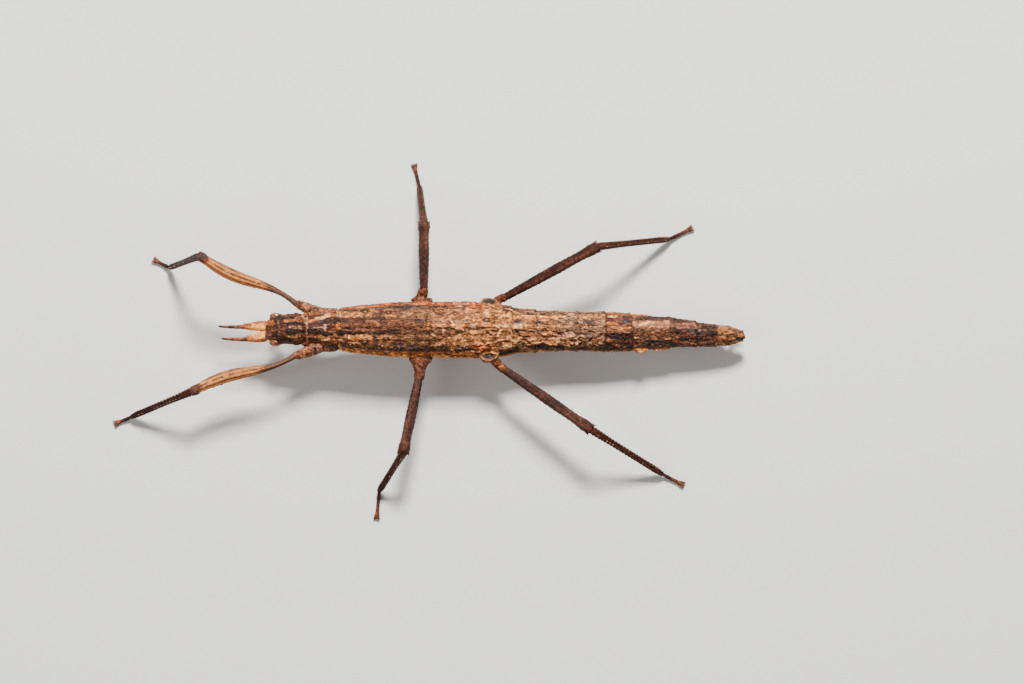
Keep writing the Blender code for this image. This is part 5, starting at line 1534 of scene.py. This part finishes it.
def scapeHue(grid, t, angle, outward):
    # cream above, brown on its outer side, with a mottled tip and a dark spot
    toSide = np.sin(angle) * outward
    above = np.cos(angle) > 0.0
    edge = smoothStep(0.22, 0.55, toSide + 0.22 * softNoise(grid, 0.25, 317, 2))
    crest = peak(toSide, -0.15, 0.35) * above * (1.0 - smoothStep(0.5, 0.8, t))
    spread = smoothStep(0.45, 0.90, t + 0.25 * toSide + 0.18 * softNoise(grid, 0.35, 315, 2))
    tip = smoothStep(0.62, 0.92, t + 0.16 * softNoise(grid, 0.25, 309, 2))
    return tint(
        ground(grid, "paleOrange", (1.28, 1.62, 1.10)),
        (speckles(drawnOut(grid, 0.4), 0.25, 301, -0.1, 0.35), "cream", 0.30),
        (edge, "orange", 0.65),
        (edge, "brown", 0.45),
        (edge * speckles(grid, 0.22, 303, -0.45, 0.10), "redBrown", 0.72),
        (crest, "cream", 0.55),
        (spread, "orangeTan", 0.65),
        (tip, "orange", 0.40),
        (tip * speckles(grid, 0.16, 313, -0.45, 0.05), "redBrown", 0.90),
        (speckles(drawnOut(grid, 0.3), 0.16, 307, 0.15, 0.40), "orange", 0.50),
        (smoothStep(0.2, 0.8, -np.cos(angle)), "orangeTan", 0.8),
        (1.0 - smoothStep(0.0, 0.08, t), "brown", 0.6),
        (peak(t, 0.70, 0.035) * peak(toSide, 0.15, 0.35) * above, "darkBrown", 1.0),
        (speckles(grid, 0.2, 305, 0.35, 0.6), "brown", 0.5))


def buildScape(hand, end):
    start = endOf(nodePoints("scape_" + hand), 1, 0.12) + (0.12, 0.0, 0.0)
    shell = newShell()
    grid, t, angle, axis = granularTube(start, end, scapeShape["profile"], scapeShape["spacing"],
                                        scapeShape["around"], scapeSection)
    colour = scapeHue(grid, t, angle, -sideSign(hand))  # a tube that runs to -X has its positive side at -Y
    grain = softNoise(drawnOut(grid, 0.4), 0.2, 311, 2)
    grid = grid + gridNormals(grid) * (scapeShape["rough"] * grain)[..., None]
    addTube(shell, grid, colour, 0.1, 0.08)
    side = sideAndTop(axis)[0]
    for way in scapeShape["spines"]:
        root = end - axis * 0.30 + side * way * 0.24 + np.array([0.0, 0.0, 0.10])
        addLobe(shell, root, root + axis * (0.50 - 0.16 * abs(way)) + side * way * 0.16, 0.06, 0.07, "tan")
    rideRoot(makePiece("antennaScape_" + hand, shell, "antennaCuticle"), ["scape_" + hand])
    return axis


def buildWhip(hand, start, axis):
    tip = endOf(nodePoints("flagellum_" + hand), -1, 0.1)
    middle = (start + tip) / 2.0 + whipShape["sag"]
    bend = [start - axis * 0.1, start + (middle - start) * 0.5 + whipShape["sideSag"], middle,
            middle + (tip - middle) * 0.55 + whipShape["sideSag"], tip]
    curve = makeCurve("feelerCurve", [bend])
    feeler = grow(feelerTree, curve, "antennaWhip_" + hand, Radius=whipShape["radius"],
                  Rings=whipShape["rings"], Ring_Height=whipShape["ringHeight"],
                  Tip_Share=whipShape["tipShare"], Samples=whipShape["samples"],
                  Material=materials["antennaCuticle"])
    bpy.data.objects.remove(curve)
    points = meshPoints(feeler.data)
    t = ((points - start) @ unit(tip - start)) / np.linalg.norm(tip - start)
    paint(feeler.data, tint(
        ground(points, "orangeTan", (0.62, 0.52, 0.50)),
        (smoothStep(-0.3, 0.8, np.cos(2.0 * math.pi * whipShape["rings"] * t)), "redBrown", 0.60),
        (speckles(drawnOut(points, 1.0, 0.5), 0.42, 333, 0.0, 0.22), "darkBrown", 0.85),
        (speckles(points, 0.25, 331, 0.1, 0.4), "brown", 0.6),
        (smoothStep(0.62, 1.0, t), "darkBrown", 0.95)))
    rideRoot(feeler, ["flagellum_" + hand])


for hand in ("right", "left"):
    buildEye(hand)
    whipStart = jointBetween("scape_" + hand, "flagellum_" + hand)
    buildWhip(hand, whipStart, buildScape(hand, whipStart))


# mouthparts: upper lip, two jaws, and jointed palps

mouthShape = {
    "lip": ((0.0, 0.34, 0.30), (0.35, 0.54, 0.52), (0.7, 0.64, 0.64), (1.0, 0.52, 0.60)),
    "jaw": ((0.0, 0.24, 0.34), (0.5, 0.24, 0.28), (1.0, 0.10, 0.12)),
    "palp": ((0.0, 0.13, 0.13), (0.7, 0.18, 0.18), (1.0, 0.14, 0.14)),
    "palpRoot": (0.35, -0.80, 0.32),  # in the flank of the mouthparts
    "palpTurn": (0.30, -0.26, 0.0),  # the tips turn in below the scapes
    "palpJoints": (0.08, 0.40, 0.70, 1.0), "palpOverlap": 0.12,
}


def buildMouth():
    low, high = nodeBox("mouthparts")
    middle = (low[1] + high[1]) / 2.0
    front = np.array([low[0] + 0.22, middle, high[2] - 0.24])
    back = np.array([high[0] - 0.10, middle, low[2] + 0.74])
    shell = newShell()
    # the upper side of this tube lies in the head
    addSegment(shell, front, back, mouthShape["lip"], roundSection, coxaHue, 401, 0.03, (0.10, 0.2))
    for way in (-1.0, 1.0):
        root = front + (back - front) * 0.55 + np.array([0.0, way * 0.42, -0.10])
        tip = front + np.array([0.02, way * 0.14, -0.22])
        addSegment(shell, root, tip, mouthShape["jaw"], roundSection, tarsusHue, 403, 0.012, (0.08, 0.08))
    rideRoot(makePiece("mouthpartsSkin", shell, "legCuticle"), ["mouthparts"])


def buildPalp(hand):
    points = nodePoints("palp_" + hand)
    mirror = np.array([1.0, sideSign(hand), 1.0])
    start = endOf(points, 1, 0.1)
    end = endOf(points, -1, 0.1) + mouthShape["palpTurn"] * mirror
    places = [start + mouthShape["palpRoot"] * mirror]
    places += [start + (end - start) * share for share in mouthShape["palpJoints"]]
    shell = newShell()
    for first, last in zip(places, places[1:]):
        addSegment(shell, first + (first - last) * mouthShape["palpOverlap"], last, mouthShape["palp"],
                   roundSection, darkCoxaHue, 407, 0.012, (0.05, 0.08))
    rideRoot(makePiece("palpSkin_" + hand, shell, "legCuticle"), ["palp_" + hand])


# plate under the tail, and the two cerci

plateShape = {
    # x, height, half width, rise, depth
    "stations": ((26.8, 1.90, 1.00, 0.40, 0.06), (27.3, 1.68, 1.14, 0.56, 0.34),
                 (28.2, 1.48, 1.16, 0.72, 0.44), (31.2, 1.38, 0.82, 0.74, 0.42),
                 (32.4, 1.46, 0.46, 0.56, 0.30), (32.9, 1.64, 0.10, 0.30, 0.06)),
    "section": ((0.0, 0.00, -1.00), (1.0, 0.55, -0.72), (2.0, 0.96, 0.30), (2.4, 0.90, 0.95),
                (3.4, 0.0, 1.00)),
    "step": 0.07, "places": 34, "keel": 0.05, "rough": 0.06,
}
cercusShape = {"radii": (0.20, 0.20, 0.17, 0.06), "inward": 0.4, "root": (-0.35, 0.75),
               "shoulder": (0.10, 0.0, 0.10), "around": 36, "spacing": 0.05, "rough": 0.03}


def buildPlate():
    first = plateShape["stations"][0][0]
    last = plateShape["stations"][-1][0]
    x = np.linspace(first, last, int((last - first) / plateShape["step"]))
    ring = easeTable(plateShape["stations"], x)
    places = np.linspace(0.0, plateShape["section"][-1][0], plateShape["places"])
    section = easeTable(plateShape["section"], places)
    grid = layRings(x, ring, section)
    keel = peak(grid[..., 1], 0.0, 0.10) * (grid[..., 2] < ring[:, :1])
    grid[..., 2] -= keel * plateShape["keel"]
    colour = tint(
        ground(grid, "redBrown"),
        (speckles(drawnOut(grid, 0.5), 0.6, 501, -0.1, 0.4), "tan", 0.5),
        (speckles(drawnOut(grid, 0.4), 0.3, 505, 0.05, 0.35), "darkBrown", 0.7),
        (keel, "darkBrown", 0.6),
        (smoothStep(0.80, 0.97, np.abs(grid[..., 1]) / ring[:, 1:2]), "orangeTan", 0.5))
    grid, colour = roughen(grid, colour, plateShape["rough"], 503)
    shell = newShell()
    addTube(shell, grid + middleShift, colour, 0.05, 0.08)
    rideRoot(makePiece("underPlate", shell, "bodyCuticle"), ["subgenital_plate"])


def buildCercus(hand):
    points = nodePoints("cercus_" + hand)
    start = endOf(points, -1, 0.1)
    end = endOf(points, 1, 0.1)
    inward = (bodyMiddle + bodyShape["tailShift"] - start[1]) * cercusShape["inward"]
    behind, above = cercusShape["root"]  # in the tail
    places = [start + (behind, inward, above), start + cercusShape["shoulder"], (start + end) / 2.0, end]
    shell = newShell()
    grid, t = bentTube(places, cercusShape["radii"], cercusShape["around"], cercusShape["spacing"])
    grid, colour = roughen(grid, coxaHue(grid, t, 0.0, 1.0, 507), cercusShape["rough"], 509)
    addTube(shell, grid, colour, 0.05, 0.05)
    rideRoot(makePiece("cercusSkin_" + hand, shell, "legCuticle"), ["cercus_" + hand])


buildMouth()
for hand in ("right", "left"):
    buildPalp(hand)
buildPlate()
for hand in ("right", "left"):
    buildCercus(hand)


# a plain pale floor and soft studio light

studio = {
    "floorReach": 1.2, "floor": (0.78, 0.77, 0.74, 1.0), "floorRoughness": 0.85,
    "sky": (1.0, 0.98, 0.95, 1.0), "skyStrength": 0.24, "lampAim": (0.01, 0.0, 0.0),
    # place, size, energy
    "keyLamp": ((0.03, 0.29, 0.34), 0.11, 5.2),
    "fillLamp": ((-0.30, -0.20, 0.35), 0.30, 0.8),
}


def buildStage():
    mesh = bpy.data.meshes.new("studioFloor")
    reach = studio["floorReach"]
    mesh.from_pydata([(-reach, -reach, 0.0), (reach, -reach, 0.0), (reach, reach, 0.0), (-reach, reach, 0.0)],
                     [], [(0, 1, 2, 3)])
    material, tree, shader = newMaterial("paleFloor")
    setSockets(tree, shader, [("Base Color", studio["floor"]), ("Roughness", studio["floorRoughness"])])
    mesh.materials.append(material)
    floor = addObject("studioFloor", mesh)
    world = bpy.data.worlds.new("studioLight")
    world.use_nodes = True
    sky = world.node_tree.nodes["Background"]
    setSockets(world.node_tree, sky, [("Color", studio["sky"]), ("Strength", studio["skyStrength"])])
    bpy.context.scene.world = world


def addLamp(name):
    place, size, energy = studio[name]
    lamp = bpy.data.lights.new(name, "AREA")
    lamp.size = size
    lamp.energy = energy
    holder = addObject(name, lamp)
    holder.location = place
    holder.rotation_euler = (Vector(studio["lampAim"]) - holder.location).to_track_quat("-Z", "Y").to_euler()


buildStage()
addLamp("keyLamp")
addLamp("fillLamp")
